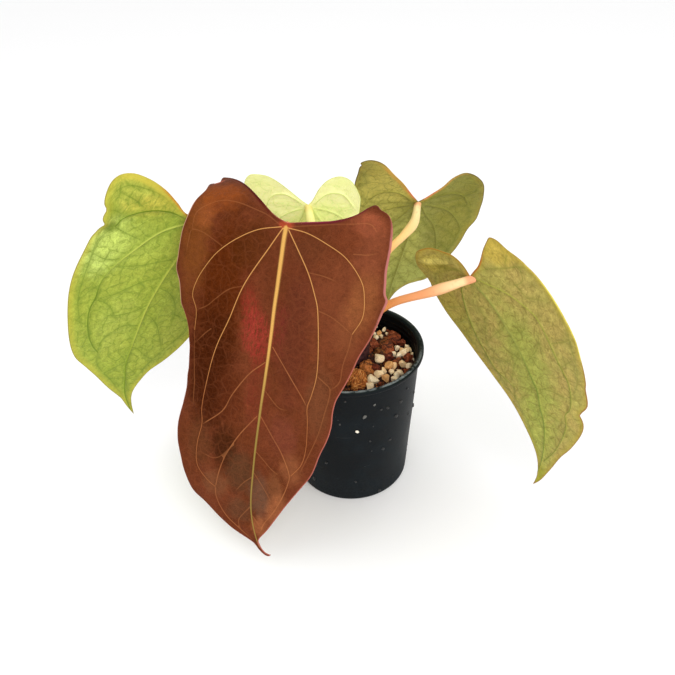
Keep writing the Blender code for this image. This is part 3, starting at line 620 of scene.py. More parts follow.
@dataclass
class Look:
    """Colours of one face of a blade.

    shadow is the colour beside the veins. vein_turn gives the distances from the stalk between
    which a vein goes from its near colour to its far one, and vein_reach the half widths between
    which its edge fades. glow is the light that comes through the blade.

    A patch is its flat centre, reach, turn in degrees, strength and colour. One of the margins
    has as well how far in from the leaf's edge it shows, and a feather is broken into streaks.
    """

    lamina: str
    cloud: str
    net: str
    pale: str
    shadow: str
    fine: str
    vein_near: str
    vein_far: str
    spine_near: str
    spine_far: str
    band: str
    edge: str
    net_strength: float = 0.25
    mottle: float = 0.3
    fine_strength: float = 0.6
    fine_softness: float = 1.6
    halo: float = 0.25
    band_width: float = 6.0
    band_strength: float = 0.5
    edge_width: float = 0.7
    vein_turn: tuple = (60, 120)
    vein_reach: tuple = (0.4, 1.0)
    glow: float = 0.0
    speckle: float = 0.25
    roughness: float = 0.5
    gloss: float = 0.12
    patches: list = field(default_factory=list)
    feathers: list = field(default_factory=list)
    margins: list = field(default_factory=list)


UPPER_GREEN = Look(
    lamina="2f4a22", cloud="3d5a2a", net="4f6d3a", pale="4a6a38", shadow="2a4420", fine="a9bb8c",
    vein_near="d5dcb4", vein_far="b3c294", spine_near="dde2bc", spine_far="b3c294", band="46602c",
    edge="8a9a58", net_strength=0.35, halo=0.12, band_strength=0.35, roughness=0.55,
)
LOOKS = {
    "front_upper": Look(
        lamina="64301a", cloud="592a12", net="84482a", pale="80482a", shadow="3e1a06", fine="a8683e",
        vein_near="c28a4e", vein_far="9a5c34", spine_near="cc9c52", spine_far="8a7438",
        band="5c281a", edge="a2584a", net_strength=0.22, mottle=0.5, fine_strength=0.62,
        fine_softness=0.95, halo=0.12, band_width=5, band_strength=0.25, edge_width=0.7,
        vein_turn=(60, 125), vein_reach=(0.25, 0.8), speckle=0.6, roughness=0.55, gloss=0.03,
        patches=[
            ((34, 44), (22, 60), 0, 0.9, "4c1d00"),
            ((58, 16), (14, 40), 0, 0.75, "74401a"),
            ((54, 2), (10, 10), 0, 0.5, "8e4c26"),
            ((48, -12), (22, 14), 0, 0.7, "864216"),
            ((20, 14), (16, 24), -20, 0.7, "482004"),
            ((38, 92), (24, 56), 0, 1.0, "3a1400"),
            ((22, 106), (12, 24), 10, 0.7, "50220c"),
            ((44, 140), (12, 20), 0, 0.7, "563018"),
            ((26, 140), (12, 20), 0, 0.9, "351602"),
            ((15, 154), (14, 20), 0, 0.75, "4a301c"),
            ((33, 164), (12, 12), 0, 0.6, "6c442a"),
            ((17, 180), (12, 12), 0, 0.7, "563622"),
            ((2, 168), (10, 20), 0, 0.8, "604230"),
            ((-9, 160), (8, 14), 0, 0.7, "704226"),
            ((-20, 144), (10, 14), 0, 0.7, "804a2c"),
            ((-15, 124), (12, 18), 0, 0.6, "6e3626"),
            ((-36, 98), (12, 30), 0, 0.7, "643a22"),
            ((-48, 50), (10, 20), 0, 0.5, "84502c"),
            ((-42, 40), (28, 50), 0, 0.6, "703a22"),
            ((-55, 34), (12, 24), 0, 0.6, "864e2a"),
            ((-53, 4), (14, 20), 0, 0.7, "7a4028"),
            ((-40, 1), (12, 12), 0, 0.6, "642f18"),
            ((-49, -9), (14, 8), 0, 0.7, "8e4a30"),
            ((-16, 11), (16, 12), 20, 0.7, "5a2e18"),
            ((-16, 62), (14, 56), 0, 0.7, "582818"),
            ((14, 46), (9, 22), 20, 0.4, "6a2a18"),
            ((4, 100), (10, 26), 5, 0.4, "6a2c1a"),
            ((-9, 176), (8, 18), -22, 0.7, "985a36"),
            ((3, 190), (8, 10), 0, 0.7, "985a36"),
            # Painted highlight on the saddle by the notch.
            ((60, -27), (5, 5), 0, 0.7, "c8603e"),
            ((0, -1), (6, 4), 0, 0.9, "b4482c"),
        ],
        feathers=[
            ((15, 50), (7, 14), 14, 0.6, "882a20"),
            ((8, 65), (13, 18), 10, 0.95, "8e2f26"),
            ((5, 78), (8, 12), 8, 0.6, "842a20"),
            ((-6, 60), (7, 24), 0, 0.4, "742622"),
            ((6, 108), (8, 22), 5, 0.25, "7a2c22"),
        ],
        margins=[
            # The dark bands along both sinus margins are painted shade of the rolled margin, over its
            # maroon.
            ((32, -22), (40, 10), -33, 0.95, "4c130c", 2.4),
            ((-28, -10), (28, 9), 22, 0.95, "5c1622", 2.2),
            ((-20, -7), (16, 6), 18, 0.7, "92404e", 1.0),
            # Painted highlight along this outer margin.
            ((66, 26), (9, 52), 0, 0.9, "dca492", 1.1),
            ((-66, 14), (10, 44), 0, 0.75, "b4706a", 1.4),
            ((60, -30), (5, 5), 0, 0.7, "8c2a1c", 1.2),
        ],
    ),
    "front_under": Look(
        lamina="9c6a50", cloud="8f5c40", net="7c4a34", pale="b0806a", shadow="6e4030", fine="b98a66",
        vein_near="d9b184", vein_far="b98f62", spine_near="e0bc90", spine_far="b98f62",
        band="9a5f52", edge="b9776a", net_strength=0.3, band_strength=0.4,
    ),
    "left_under": Look(
        lamina="a6b043", cloud="96a53c", net="7c912f", pale="c1c964", shadow="788d2c", fine="667e24",
        vein_near="b9c555", vein_far="6a8221", spine_near="b2ba49", spine_far="788f23",
        band="c7ba43", edge="988b38", net_strength=0.75, mottle=0.6, fine_strength=0.5,
        fine_softness=1.3, halo=0.35, band_width=6, band_strength=0.5, edge_width=0.6,
        vein_turn=(85, 125), speckle=0.4,
        patches=[
            # This lime patch is painted light that comes through the blade.
            ((-58, 24), (22, 26), 0, 0.9, "ccdf72"),
            ((-40, 22), (26, 22), 0, 0.5, "b6c755"),
            ((-54, -10), (24, 10), 0, 0.6, "c6c455"),
            ((-30, -8), (34, 9), -15, 0.55, "caba49"),
            ((-60, 10), (9, 5), 10, 0.85, "78892a"),
            ((-12, 60), (26, 40), 0, 0.3, "9aa638"),
            ((-30, 80), (20, 30), 0, 0.35, "b2ba55"),
            ((-6, 168), (12, 12), 0, 0.8, "81951a"),
            ((20, 100), (20, 26), 30, 0.4, "b2b649"),
        ],
        margins=[
            ((-48, -16), (34, 12), 0, 0.75, "ccbe48", 4.0),
            ((-22, -12), (26, 12), 20, 0.9, "cc9537", 1.6),
        ],
    ),
    "right_under": Look(
        lamina="a89f51", cloud="b29b56", net="746a2c", pale="c1b768", shadow="808238", fine="767c30",
        vein_near="a8a848", vein_far="7f8a34", spine_near="98994a", spine_far="788838",
        band="b69e3b", edge="987334", net_strength=0.5, mottle=0.6, fine_strength=0.45,
        fine_softness=1.1, halo=0.22, band_width=4.5, band_strength=0.45, edge_width=0.6,
        vein_turn=(30, 80), speckle=0.5, vein_reach=(0.2, 0.9), gloss=0.06,
        patches=[
            ((16, 62), (22, 56), 0, 0.6, "98a347"),
            ((8, 115), (16, 40), 0, 0.6, "a4af4c"),
            ((36, 20), (24, 22), 0, 0.5, "ae9956"),
            ((52, 52), (14, 40), 0, 0.45, "b4a156"),
            ((33, -8), (18, 9), 0, 0.75, "c4ab48"),
            ((-26, -24), (20, 12), 30, 0.7, "bfaf4b"),
            ((-20, -24), (16, 3.5), 38, 0.8, "dfd372"),
            # Painted shade in the crease below the fold.
            ((-14, -14), (16, 3), 38, 0.6, "7a792a"),
            ((-30, 24), (12, 40), 0, 0.4, "a6993b"),
            ((3, 156), (12, 18), 0, 0.85, "8a9b22"),
            ((0, -2), (5, 5), 0, 0.8, "d2995d"),
        ],
        margins=[
            ((52, 22), (9, 42), -28, 0.9, "dfd35c", 0.8),
            ((10, -5), (16, 8), -25, 0.9, "b27331", 1.5),
            ((-10, -24), (22, 12), 55, 0.8, "ae8334", 1.2),
            ((50, 76), (12, 30), 0, 0.7, "986934", 1.0),
        ],
    ),
    "back_right_under": Look(
        lamina="98954d", cloud="908f40", net="73712c", pale="aba55c", shadow="6f732a", fine="696b25",
        vein_near="928f40", vein_far="807f33", spine_near="a19b47", spine_far="807f31",
        band="af9540", edge="6f5b2a", net_strength=0.5, mottle=0.3, fine_strength=0.25,
        fine_softness=1.6, halo=0.3, band_width=5, band_strength=0.4, edge_width=0.6,
        speckle=0.35, vein_reach=(0.2, 0.8), gloss=0.05,
        patches=[
            ((-30, -14), (28, 66), 0, 1.0, "ccbe5c"),
            ((-4, 48), (24, 50), 0, 0.9, "bcb85c"),
            ((-28, 20), (26, 50), 0, 0.4, "b4b25c"),
            ((34, 10), (26, 60), 0, 0.6, "8e8634"),
            ((8, 84), (34, 26), 0, 0.7, "b0b25a"),
            ((-44, -40), (16, 14), 30, 0.5, "ac9d46"),
        ],
        margins=[
            ((-24, -26), (34, 9), 50, 0.9, "d2a54b", 3.4),
            ((12, -20), (22, 9), -62, 0.85, "cb9b4b", 2.6),
            ((-8, -10), (10, 8), 50, 0.9, "e28959", 1.6),
            ((7, -10), (10, 8), -60, 0.9, "e28959", 1.6),
        ],
    ),
    "back_under": Look(
        # The pale lime of this face, and its glow, are painted light that comes through the thin
        # blade.
        lamina="ecf89b", cloud="faffaf", net="d0e175", pale="ffffc8", shadow="bdd560", fine="d4e480",
        vein_near="dcea88", vein_far="e6f492", spine_near="ffffb8", spine_far="daea84",
        band="feffb8", edge="d3db82", net_strength=0.35, mottle=0.3, fine_strength=0.4,
        fine_softness=1.6, halo=0.05, band_width=8, band_strength=0.5, edge_width=0.5,
        speckle=0.15, glow=0.12,
        patches=[
            ((0, 26), (44, 22), 0, 0.5, "d5e171"),
            ((22, -10), (18, 14), 0, 0.6, "feffb8"),
            ((-22, -12), (20, 14), 0, 0.6, "feffb6"),
        ],
    ),
    "left_upper": UPPER_GREEN,
    "right_upper": UPPER_GREEN,
    "back_right_upper": UPPER_GREEN,
    "back_upper": UPPER_GREEN,
}


class Wire:
    """One socket of a node tree. Python's operators on it add Math nodes to the tree."""

    def __init__(self, tree, socket):
        self.tree, self.socket = tree, socket

    def maths(self, operation, *values):
        """A Math node over these values."""
        return self.tree.node("ShaderNodeMath", {"operation": operation}, values)

    def __add__(self, other):
        return self.maths("ADD", self, other)

    __radd__ = __add__

    def __sub__(self, other):
        return self.maths("SUBTRACT", self, other)

    def __rsub__(self, other):
        return self.maths("SUBTRACT", other, self)

    def __mul__(self, other):
        return self.maths("MULTIPLY", self, other)

    __rmul__ = __mul__

    def __truediv__(self, other):
        return self.maths("DIVIDE", self, other)

    def at(self, output):
        """Another output of the same node."""
        return Wire(self.tree, self.socket.node.outputs[output])


class Tree:
    """A shader or geometry node tree that is filled from Python."""

    def __init__(self, nodes):
        self.nodes = nodes

    def node(self, kind, settings=None, sockets=(), out=0):
        """Add a node: its settings first, then the values or wires of its sockets."""
        made = self.nodes.nodes.new(kind)
        for key, value in (settings or {}).items():
            if key == "stops":
                self.set_stops(made.color_ramp.elements, value)
            else:
                setattr(made, key, value)
        pairs = sockets.items() if isinstance(sockets, dict) else enumerate(sockets)
        for key, value in pairs:
            for one in value if isinstance(value, list) else [value]:
                if isinstance(one, Wire):
                    self.nodes.links.new(one.socket, made.inputs[key])
                else:
                    made.inputs[key].default_value = one
        return Wire(self, made.outputs[out]) if made.outputs else None

    def set_stops(self, elements, colours):
        """Spread the given colours evenly over a colour ramp."""
        elements[0].color = self.solid(colours[0])
        elements[1].color = self.solid(colours[-1])
        for k, colour in enumerate(colours[1:-1], 1):
            elements.new(k / (len(colours) - 1)).color = self.solid(colour)

    def ramp(self, value, *colours):
        """The colour that a value finds on a ramp of evenly spaced ones."""
        return self.node("ShaderNodeValToRGB", {"stops": colours}, {"Fac": value})

    def attribute(self, name, output="Fac"):
        """A value that the mesh keeps for each point."""
        return self.node("ShaderNodeAttribute", {"attribute_name": name}, out=output)

    def place(self):
        """Where a point lies in the object's own space."""
        return self.node("ShaderNodeTexCoord", out="Object")

    def noise(self, vector, scale, detail=3.0, rough=0.55, warp=0.0):
        """Cloudy noise."""
        sockets = {"Vector": vector, "Scale": scale, "Detail": detail}
        sockets.update({"Roughness": rough, "Distortion": warp})
        return self.node("ShaderNodeTexNoise", None, sockets)

    def cells(self, vector, scale):
        """Distances to the edges in a flat pattern of cells."""
        settings = {"feature": "DISTANCE_TO_EDGE", "voronoi_dimensions": "2D"}
        return self.node("ShaderNodeTexVoronoi", settings, {"Vector": vector, "Scale": scale})

    def parts(self, vector):
        """The three numbers of a vector."""
        split = self.node("ShaderNodeSeparateXYZ", None, {0: vector})
        return split, split.at("Y"), split.at("Z")

    def step(self, value, low, high):
        """Rise smoothly from 0 at low to 1 at high."""
        return self.node(
            "ShaderNodeMapRange",
            {"interpolation_type": "SMOOTHSTEP"},
            {0: value, 1: low, 2: high, 3: 0.0, 4: 1.0},
        )

    def mix(self, share, first, second):
        """A blend of two colours."""
        sockets = {0: share, 6: self.solid(first), 7: self.solid(second)}
        return self.node("ShaderNodeMix", {"data_type": "RGBA"}, sockets, out=2)

    def solid(self, colour):
        """A colour in the form that a socket takes."""
        if isinstance(colour, str):
            return (*ink(colour), 1.0)
        return colour if isinstance(colour, Wire) else (*colour[:3], 1.0)

    def scaled(self, vector, factor):
        """A vector, or a colour, times a number."""
        sockets = {0: vector, "Scale": factor}
        return self.node("ShaderNodeVectorMath", {"operation": "SCALE"}, sockets)

    def vectors(self, operation, *values, out=0):
        """A Vector Math node over these values."""
        return self.node("ShaderNodeVectorMath", {"operation": operation}, values, out)

    def bump(self, height, distance):
        """A normal tilted by the slope of a height."""
        sockets = {"Strength": 1.0, "Distance": distance, "Height": height}
        return self.node("ShaderNodeBump", None, sockets)


def finish(name, build, gloss=0.5, glow=0.0):
    """A material from a function that returns its base colour, roughness and normal."""
    material = bpy.data.materials.new(name)
    material.use_nodes = True
    material.node_tree.nodes.clear()
    tree = Tree(material.node_tree)
    colour, roughness, normal = build(tree)
    sockets = {"Base Color": colour, "Roughness": roughness, "Specular IOR Level": gloss}
    if glow:
        sockets.update({"Emission Color": colour, "Emission Strength": glow})
    if normal is not None:
        sockets["Normal"] = normal
    shader = tree.node("ShaderNodeBsdfPrincipled", None, sockets)
    tree.node("ShaderNodeOutputMaterial", None, {"Surface": shader})
    return material


def spot(tree, plan, fray, centre, reach, turn, strength):
    """How strongly a patch shows: a frayed oval on the flat leaf."""
    sockets = {
        "Vector": plan,
        "Location": (centre[0] / PLAN_UNIT, centre[1] / PLAN_UNIT, 0.0),
        "Rotation": (0.0, 0.0, math.radians(turn)),
        "Scale": (reach[0] / PLAN_UNIT, reach[1] / PLAN_UNIT, 1.0),
    }
    local = tree.node("ShaderNodeMapping", {"vector_type": "TEXTURE"}, sockets)
    away = tree.vectors("LENGTH", local, out=1) + fray
    return (1.0 - tree.step(away, 0.35, 1.05)) * strength


def leaf_face(name, look):
    """The skin of one face of a blade: clouds, patches, net, veins and margin."""

    def build(tree):
        plan = tree.attribute("plan", "Vector")
        share, passed, spine = tree.parts(tree.attribute("vein", "Vector"))
        fine, clear, rim = tree.parts(tree.attribute("margin", "Vector"))
        cloud = tree.noise(plan, 4.5, 4.0, 0.6, 0.4)
        mottle = tree.noise(plan, 24.0, 5.0, 0.7, 0.8)
        grain = tree.noise(plan, 150.0, 2.0, 0.8)
        fray = (tree.noise(plan, 14.0, 5.0, 0.7, 0.6) - 0.5) * 0.9
        colour = tree.mix(tree.step(cloud, 0.35, 0.68), look.lamina, look.cloud)
        for *place, paint in look.patches:
            colour = tree.mix(spot(tree, plan, fray, *place), colour, paint)
        barbs = tree.noise(tree.vectors("MULTIPLY", plan, (90.0, 26.0, 1.0)), 1.0, 4.0, 0.7)
        for *place, paint in look.feathers:
            mask = spot(tree, plan, fray, *place) * tree.step(barbs, 0.34, 0.6)
            colour = tree.mix(mask, colour, paint)
        colour = tree.mix(tree.step(mottle, 0.54, 0.74) * look.mottle * 0.4, colour, look.pale)
        speckle = (grain - 0.5) * look.speckle * 2.0
        colour = tree.scaled(colour, 1.0 + (mottle - 0.5) * look.mottle * 2.0 + speckle)
        drift = tree.node("ShaderNodeTexNoise", None, {"Vector": plan, "Scale": 9.0}, out=1)
        bent = tree.vectors("ADD", plan, tree.scaled(drift, 0.09))
        coarse = 1.0 - tree.step(tree.cells(bent, 12.0), 0.0, 0.12)
        dense = 1.0 - tree.step(tree.cells(bent, 30.0), 0.0, 0.16)
        net = coarse.maths("MAXIMUM", coarse, dense * 0.6) * tree.step(mottle, 0.7, 0.4)
        colour = tree.mix(net * look.net_strength, colour, look.net)
        near_vein = fine.maths("MINIMUM", fine, share * 0.8)
        colour = tree.mix((1.0 - tree.step(near_vein, 0.8, 7.0)) * look.halo, colour, look.shadow)
        drawn = (1.0 - tree.step(fine, 0.2, look.fine_softness)) * clear
        drawn = drawn * (0.65 + 0.35 * tree.step(cloud, 0.35, 0.6))
        colour = tree.mix(drawn * look.fine_strength, colour, look.fine)
        band = (1.0 - tree.step(rim + fray * 3.0, 0.5, look.band_width)) * look.band_strength
        colour = tree.mix(band, colour, look.band)
        turn = tree.step(passed, *(distance / PLAN_UNIT for distance in look.vein_turn))
        side_vein = tree.mix(turn, look.vein_near, look.vein_far)
        midrib = tree.mix(turn, look.spine_near, look.spine_far)
        vein = tree.mix(spine, side_vein, midrib)
        near, far = look.vein_reach
        colour = tree.mix((1.0 - tree.step(share, near, far + 0.3)) * 0.3, colour, vein)
        colour = tree.mix(1.0 - tree.step(share, near, far), colour, vein)
        colour = tree.mix(1.0 - tree.step(rim, 0.25, look.edge_width), colour, look.edge)
        for *place, paint, width in look.margins:
            mask = spot(tree, plan, fray, *place) * (1.0 - tree.step(rim, width * 0.5, width))
            colour = tree.mix(mask, colour, paint)
        roughness = look.roughness + 0.2 * grain - 0.1
        normal = tree.bump(grain * 0.3 + mottle * 0.5 + net * -0.4, 0.0003)
        return colour, roughness, normal

    return finish(name, build, look.gloss, look.glow)


def spline(points, spacing):
    """Evenly spaced points on a smooth curve through the given ones, both ends kept."""
    through = np.array(points, float)
    padded = np.vstack([2 * through[0] - through[1], through, 2 * through[-1] - through[-2]])
    share = np.linspace(0, 1, 16, endpoint=False)[:, None]
    runs = []
    for a, b, c, d in zip(padded, padded[1:], padded[2:], padded[3:]):
        bow = 2 * a - 5 * b + 4 * c - d
        turn = 3 * b - a - 3 * c + d
        runs.append(0.5 * (2 * b + (c - a) * share + bow * share**2 + turn * share**3))
    fine = np.vstack([*runs, through[-1:]])
    along = np.concatenate([[0], np.cumsum(np.linalg.norm(np.diff(fine, axis=0), axis=1))])
    count = max(2, round(along[-1] / spacing) + 1)
    stops = np.linspace(0, along[-1], count)
    return np.stack([np.interp(stops, along, fine[:, k]) for k in range(fine.shape[1])], axis=1)


def hex_grid(low, high, spacing):
    """Points of a triangular grid that fills the box between two corners."""
    rows = []
    for j, y in enumerate(np.arange(low[1], high[1], spacing * math.sqrt(3) / 2)):
        x = np.arange(low[0] + (j % 2) * spacing / 2, high[0], spacing)
        rows.append(np.stack([x, np.full_like(x, y)], axis=1))
    return np.vstack(rows)


def nearest(points, others):
    """Distance from each point to the nearest of the others, with that one's number."""
    distance, number = [], []
    for start in range(0, len(points), BATCH):
        apart = points[start : start + BATCH, None] - others[None]
        squares = np.einsum("ijk,ijk->ij", apart, apart)
        number.append(np.argmin(squares, axis=1))
        distance.append(np.sqrt(np.min(squares, axis=1)))
    if not distance:
        return np.empty(0), np.empty(0, int)
    return np.concatenate(distance), np.concatenate(number)


def inside(points, loop):
    """Which points lie inside a closed loop."""
    ahead = np.roll(loop, -1, axis=0)
    x, y = points[:, :1], points[:, 1:]
    spans = (loop[:, 1] > y) != (ahead[:, 1] > y)
    rise = np.where(ahead[:, 1] == loop[:, 1], 1.0, ahead[:, 1] - loop[:, 1])
    crossing = loop[:, 0] + (y - loop[:, 1]) / rise * (ahead[:, 0] - loop[:, 0])
    return (np.sum(spans & (x < crossing), axis=1) % 2) == 1


def triangles_within(loop, inner):
    """Well-shaped triangles that fill a loop, all turning the same way."""
    count = len(loop)
    flat = [Vector((float(x), float(y))) for x, y in np.vstack([loop, inner])]
    edges = [(k, (k + 1) % count) for k in range(count)]
    _, _, faces, origin, _, _ = delaunay_2d_cdt(flat, edges, [], 1, 1e-4)
    first = np.array([ids[0] for ids in origin])
    corners = first[np.array(faces)]
    a, b, c = (np.array(flat)[corners[:, k]] for k in range(3))
    area = np.cross(b - a, c - a)
    corners[area < 0] = corners[area < 0][:, ::-1]
    return corners


def new_object(name, points, faces, materials, face_material=None, edges=()):
    """A mesh object at the origin from points in millimetres."""
    mesh = bpy.data.meshes.new(name)
    places = (np.asarray(points, float) * MM).tolist()
    mesh.from_pydata(places, edges, [tuple(map(int, face)) for face in faces])
    for material in materials:
        mesh.materials.append(material)
    if face_material is not None:
        mesh.polygons.foreach_set("material_index", np.asarray(face_material, np.int32))
    mesh.update()
    thing = bpy.data.objects.new(name, mesh)
    bpy.context.scene.collection.objects.link(thing)
    return thing


def store(thing, name, values):
    """Keep one number, or one vector, for each of a mesh's points."""
    values = np.asarray(values, np.float32)
    kind, key = ("FLOAT", "value") if values.ndim == 1 else ("FLOAT_VECTOR", "vector")
    attribute = thing.data.attributes.new(name, kind, "POINT")
    attribute.data.foreach_set(key, values.ravel())


def join_frame(thing, slot, *nodes):
    """Let a finished piece ride on the frame, in place of the nodes it stands for."""
    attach(thing, "root")
    if nodes:
        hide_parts(*nodes)


def bend(leaf, v):
    """Midrib points with their tangent, side and upward directions, at distances v."""
    fine = np.arange(-80.0, leaf.length * 1.1, 1.0)
    share = np.clip(fine / leaf.length, 0, None)
    lobe_share = np.tanh(np.clip(-fine, 0, None) / LOBE_BEND_LENGTH)
    pitch = np.radians(leaf.pitch + leaf.arch * share - leaf.lobe_bend * lobe_share)[:, None]
    sway = np.radians(leaf.sway * share)[:, None]
    turn = math.radians(leaf.heading)
    level = np.array([math.cos(turn), math.sin(turn), 0.0])
    up = np.array([0.0, 0.0, 1.0])
    along = np.cos(pitch) * level - np.sin(pitch) * up
    upper = np.sin(pitch) * level + np.cos(pitch) * up
    side = np.cross(along, upper)
    roll = math.radians(leaf.roll)
    side, upper = (
        side * math.cos(roll) + upper * math.sin(roll),
        upper * math.cos(roll) - side * math.sin(roll),
    )
    along, side = (
        along * np.cos(sway) + side * np.sin(sway),
        side * np.cos(sway) - along * np.sin(sway),
    )
    steps = (along[:-1] + along[1:]) / 2
    path = np.vstack([np.zeros(3), np.cumsum(steps, axis=0)])
    found = []
    for values in (path, along, side, upper):
        found.append(np.stack([np.interp(v, fine, values[:, k]) for k in range(3)], axis=1))
    start = np.array([np.interp(0.0, fine, path[:, k]) for k in range(3)])
    found[0] = found[0] - start + np.array(leaf.joint, float)
    return found


def relief(leaf, u, v):
    """How far a bent leaf stands off its midrib's plane: fold, waved margin and small curls."""
    fold = leaf.fold * (np.sqrt(u * u + FOLD_ROUNDING**2) - FOLD_ROUNDING)
    cup = leaf.fold * u * u / leaf.half_width
    phase = np.where(u > 0, *WAVE_PHASES)
    wave = WAVE_HEIGHT * (u / leaf.half_width) ** 2 * np.sin(2 * np.pi * v / WAVE_LENGTH + phase)
    height = fold - cup + wave
    for cu, cv, reach, lift in leaf.curls:
        height = height + lift * np.exp(-((u - cu) ** 2 + (v - cv) ** 2) / reach**2)
    return height


def on_leaf(leaf, flat, offset):
    """Points of the bent leaf, lifted off its middle sheet towards its upper side."""
    u, v = flat[:, 0], flat[:, 1]
    middle, _, side, upper = bend(leaf, v)
    lift = relief(leaf, u, v) + offset
    return middle + side * u[:, None] + upper * lift[:, None]


def plain_veins(leaf, shares):
    """A vein of the plain leaf's pattern, on both halves of this one."""
    midrib = np.array(leaf.raised[0][2], float)
    found = []
    for sign in (1, -1):
        v = np.array([s[1] for s in shares]) * leaf.length
        shift = np.interp(np.clip(v, 0, None), midrib[:, 1], midrib[:, 0])
        u = sign * np.array([s[0] for s in shares]) * leaf.half_width + shift
        found.append(np.stack([u, v], axis=1))
    return found


def all_veins(leaf):
    """Raised and fine veins as rows of points with half widths and ridge heights."""
    raised = []
    for k, (start, end, points, *late) in enumerate(leaf.raised):
        ridge = SIDE_RIDGE if k else MIDRIB_RIDGE
        raised.append((spline(points, SAMPLE_STEP), start, end, ridge, sum(late)))
    fine = [spline(points, SAMPLE_STEP) for points in leaf.fine]
    if len(leaf.raised) == 1:
        for start, end, shares in PLAIN_RAISED:
            for points in plain_veins(leaf, shares):
                raised.append((spline(points, SAMPLE_STEP), start, end, SIDE_RIDGE, 0))
        for shares in PLAIN_FINE:
            fine += [spline(points, SAMPLE_STEP) for points in plain_veins(leaf, shares)]
    return raised, fine


def taper(start, end, count):
    """Half widths along a vein, from its start to its end."""
    return end + (start - end) * (1 - np.linspace(0, 1, count)) ** 1.3


def across(line):
    """Unit directions across a flat line."""
    along = np.gradient(line, axis=0)
    along /= np.linalg.norm(along, axis=1)[:, None]
    return np.stack([-along[:, 1], along[:, 0]], axis=1)


def add_clear(kept, points, clearance, outline):
    """Append the points that lie inside the outline and clear of those kept already."""
    points = points[inside(points, outline)]
    distance, _ = nearest(points, kept)
    return np.vstack([kept, points[distance > clearance]])


def blade_points(leaf, raised, fine, spacing):
    """The outline of the flat leaf, and its inner points with rows along margin and veins."""
    plus = spline([NOTCH, *leaf.plus_side, leaf.tip], spacing)
    minus = spline([NOTCH, *leaf.minus_side, leaf.tip], spacing)
    outline = np.vstack([plus[:-1], minus[:0:-1]])
    kept = outline
    for line in [*(row[0] for row in raised), *fine]:
        kept = add_clear(kept, line[::VEIN_ROW], VEIN_ROOM, outline)
    for line, start, end, *_ in raised:
        reach = taper(start, end, len(line))[:, None]
        for side in (1, -1):
            feet = (line + side * across(line) * reach)[::VEIN_ROW]
            kept = add_clear(kept, feet, FOOT_ROOM, outline)
    inward = across(np.vstack([outline[-1:], outline, outline[:1]]))[1:-1]
    for depth in MARGIN_DEPTHS:
        ring = outline + inward * depth
        distance, _ = nearest(ring, outline)
        kept = add_clear(kept, ring[distance > depth * 0.9], MARGIN_ROOM, outline)
    grid = hex_grid(outline.min(axis=0), outline.max(axis=0), spacing * GRID_SHARE)
    kept = add_clear(kept, grid, spacing * GRID_ROOM_SHARE, outline)
    return outline, kept[len(outline) :]


def vein_fields(flat, raised, fine, strong):
    """Each flat point's raised vein and ridge height, and the distance and clearness of its fine vein.

    The raised vein is nearness in half widths, distance passed and 1 on the midrib.
    """
    samples = np.vstack([line for line, *_ in raised])
    widths = np.concatenate([taper(row[1], row[2], len(row[0])) for row in raised])
    heights, passed, spine = [], [], []
    for k, (line, _, _, ridge, late) in enumerate(raised):
        share = np.linspace(0, 1, len(line))
        rise = np.clip(share * len(line) / RIDGE_RISE, RIDGE_START, 1)
        heights.append(ridge * (1 - RIDGE_LOSS * share) * rise)
        passed.append(late + SAMPLE_STEP * np.arange(len(line)))
        spine.append(np.full(len(line), float(k == 0)))
    along = [np.concatenate(rows) for rows in (heights, passed, spine)]
    share = np.full(len(flat), FARTHEST)
    best = np.zeros(len(flat), int)
    for start in range(0, len(flat), BATCH):
        apart = flat[start : start + BATCH, None] - samples[None]
        ratio = np.sqrt(np.einsum("ijk,ijk->ij", apart, apart)) / widths
        best[start : start + BATCH] = np.argmin(ratio, axis=1)
        share[start : start + BATCH] = np.min(ratio, axis=1)
    ridge = along[0][best] * np.clip(1 - share**2, 0, 1) ** 1.5
    vein = np.column_stack([np.clip(share, 0, FARTHEST), along[1][best] / PLAN_UNIT, along[2][best]])
    clear = []
    for k, line in enumerate(fine):
        fade = np.clip(np.arange(len(line))[::-1] * SAMPLE_STEP / 4, 0.3, 1)
        clear.append(fade * (1.0 if k < strong or not strong else 0.5))
    distance, number = nearest(flat, np.vstack(fine))
    near = np.clip(distance / 0.5, 0, FARTHEST)
    return vein, ridge, near, np.concatenate(clear)[number]


def drawn_in(points, root):
    """Points drawn a little towards the blade's root where the blade would pass the frame's box."""
    root = np.array(root)
    reach = np.array([points.min(axis=0), points.max(axis=0)]) - root
    room = np.array([BOX_LOW, BOX_HIGH]) - root
    share = np.min(np.minimum(1.0, room / np.where(np.abs(reach) < 1.0, 1.0, reach)), axis=0)
    return root + (points - root) * np.where(share > LEAST_DRAWN_IN, share, 1.0)


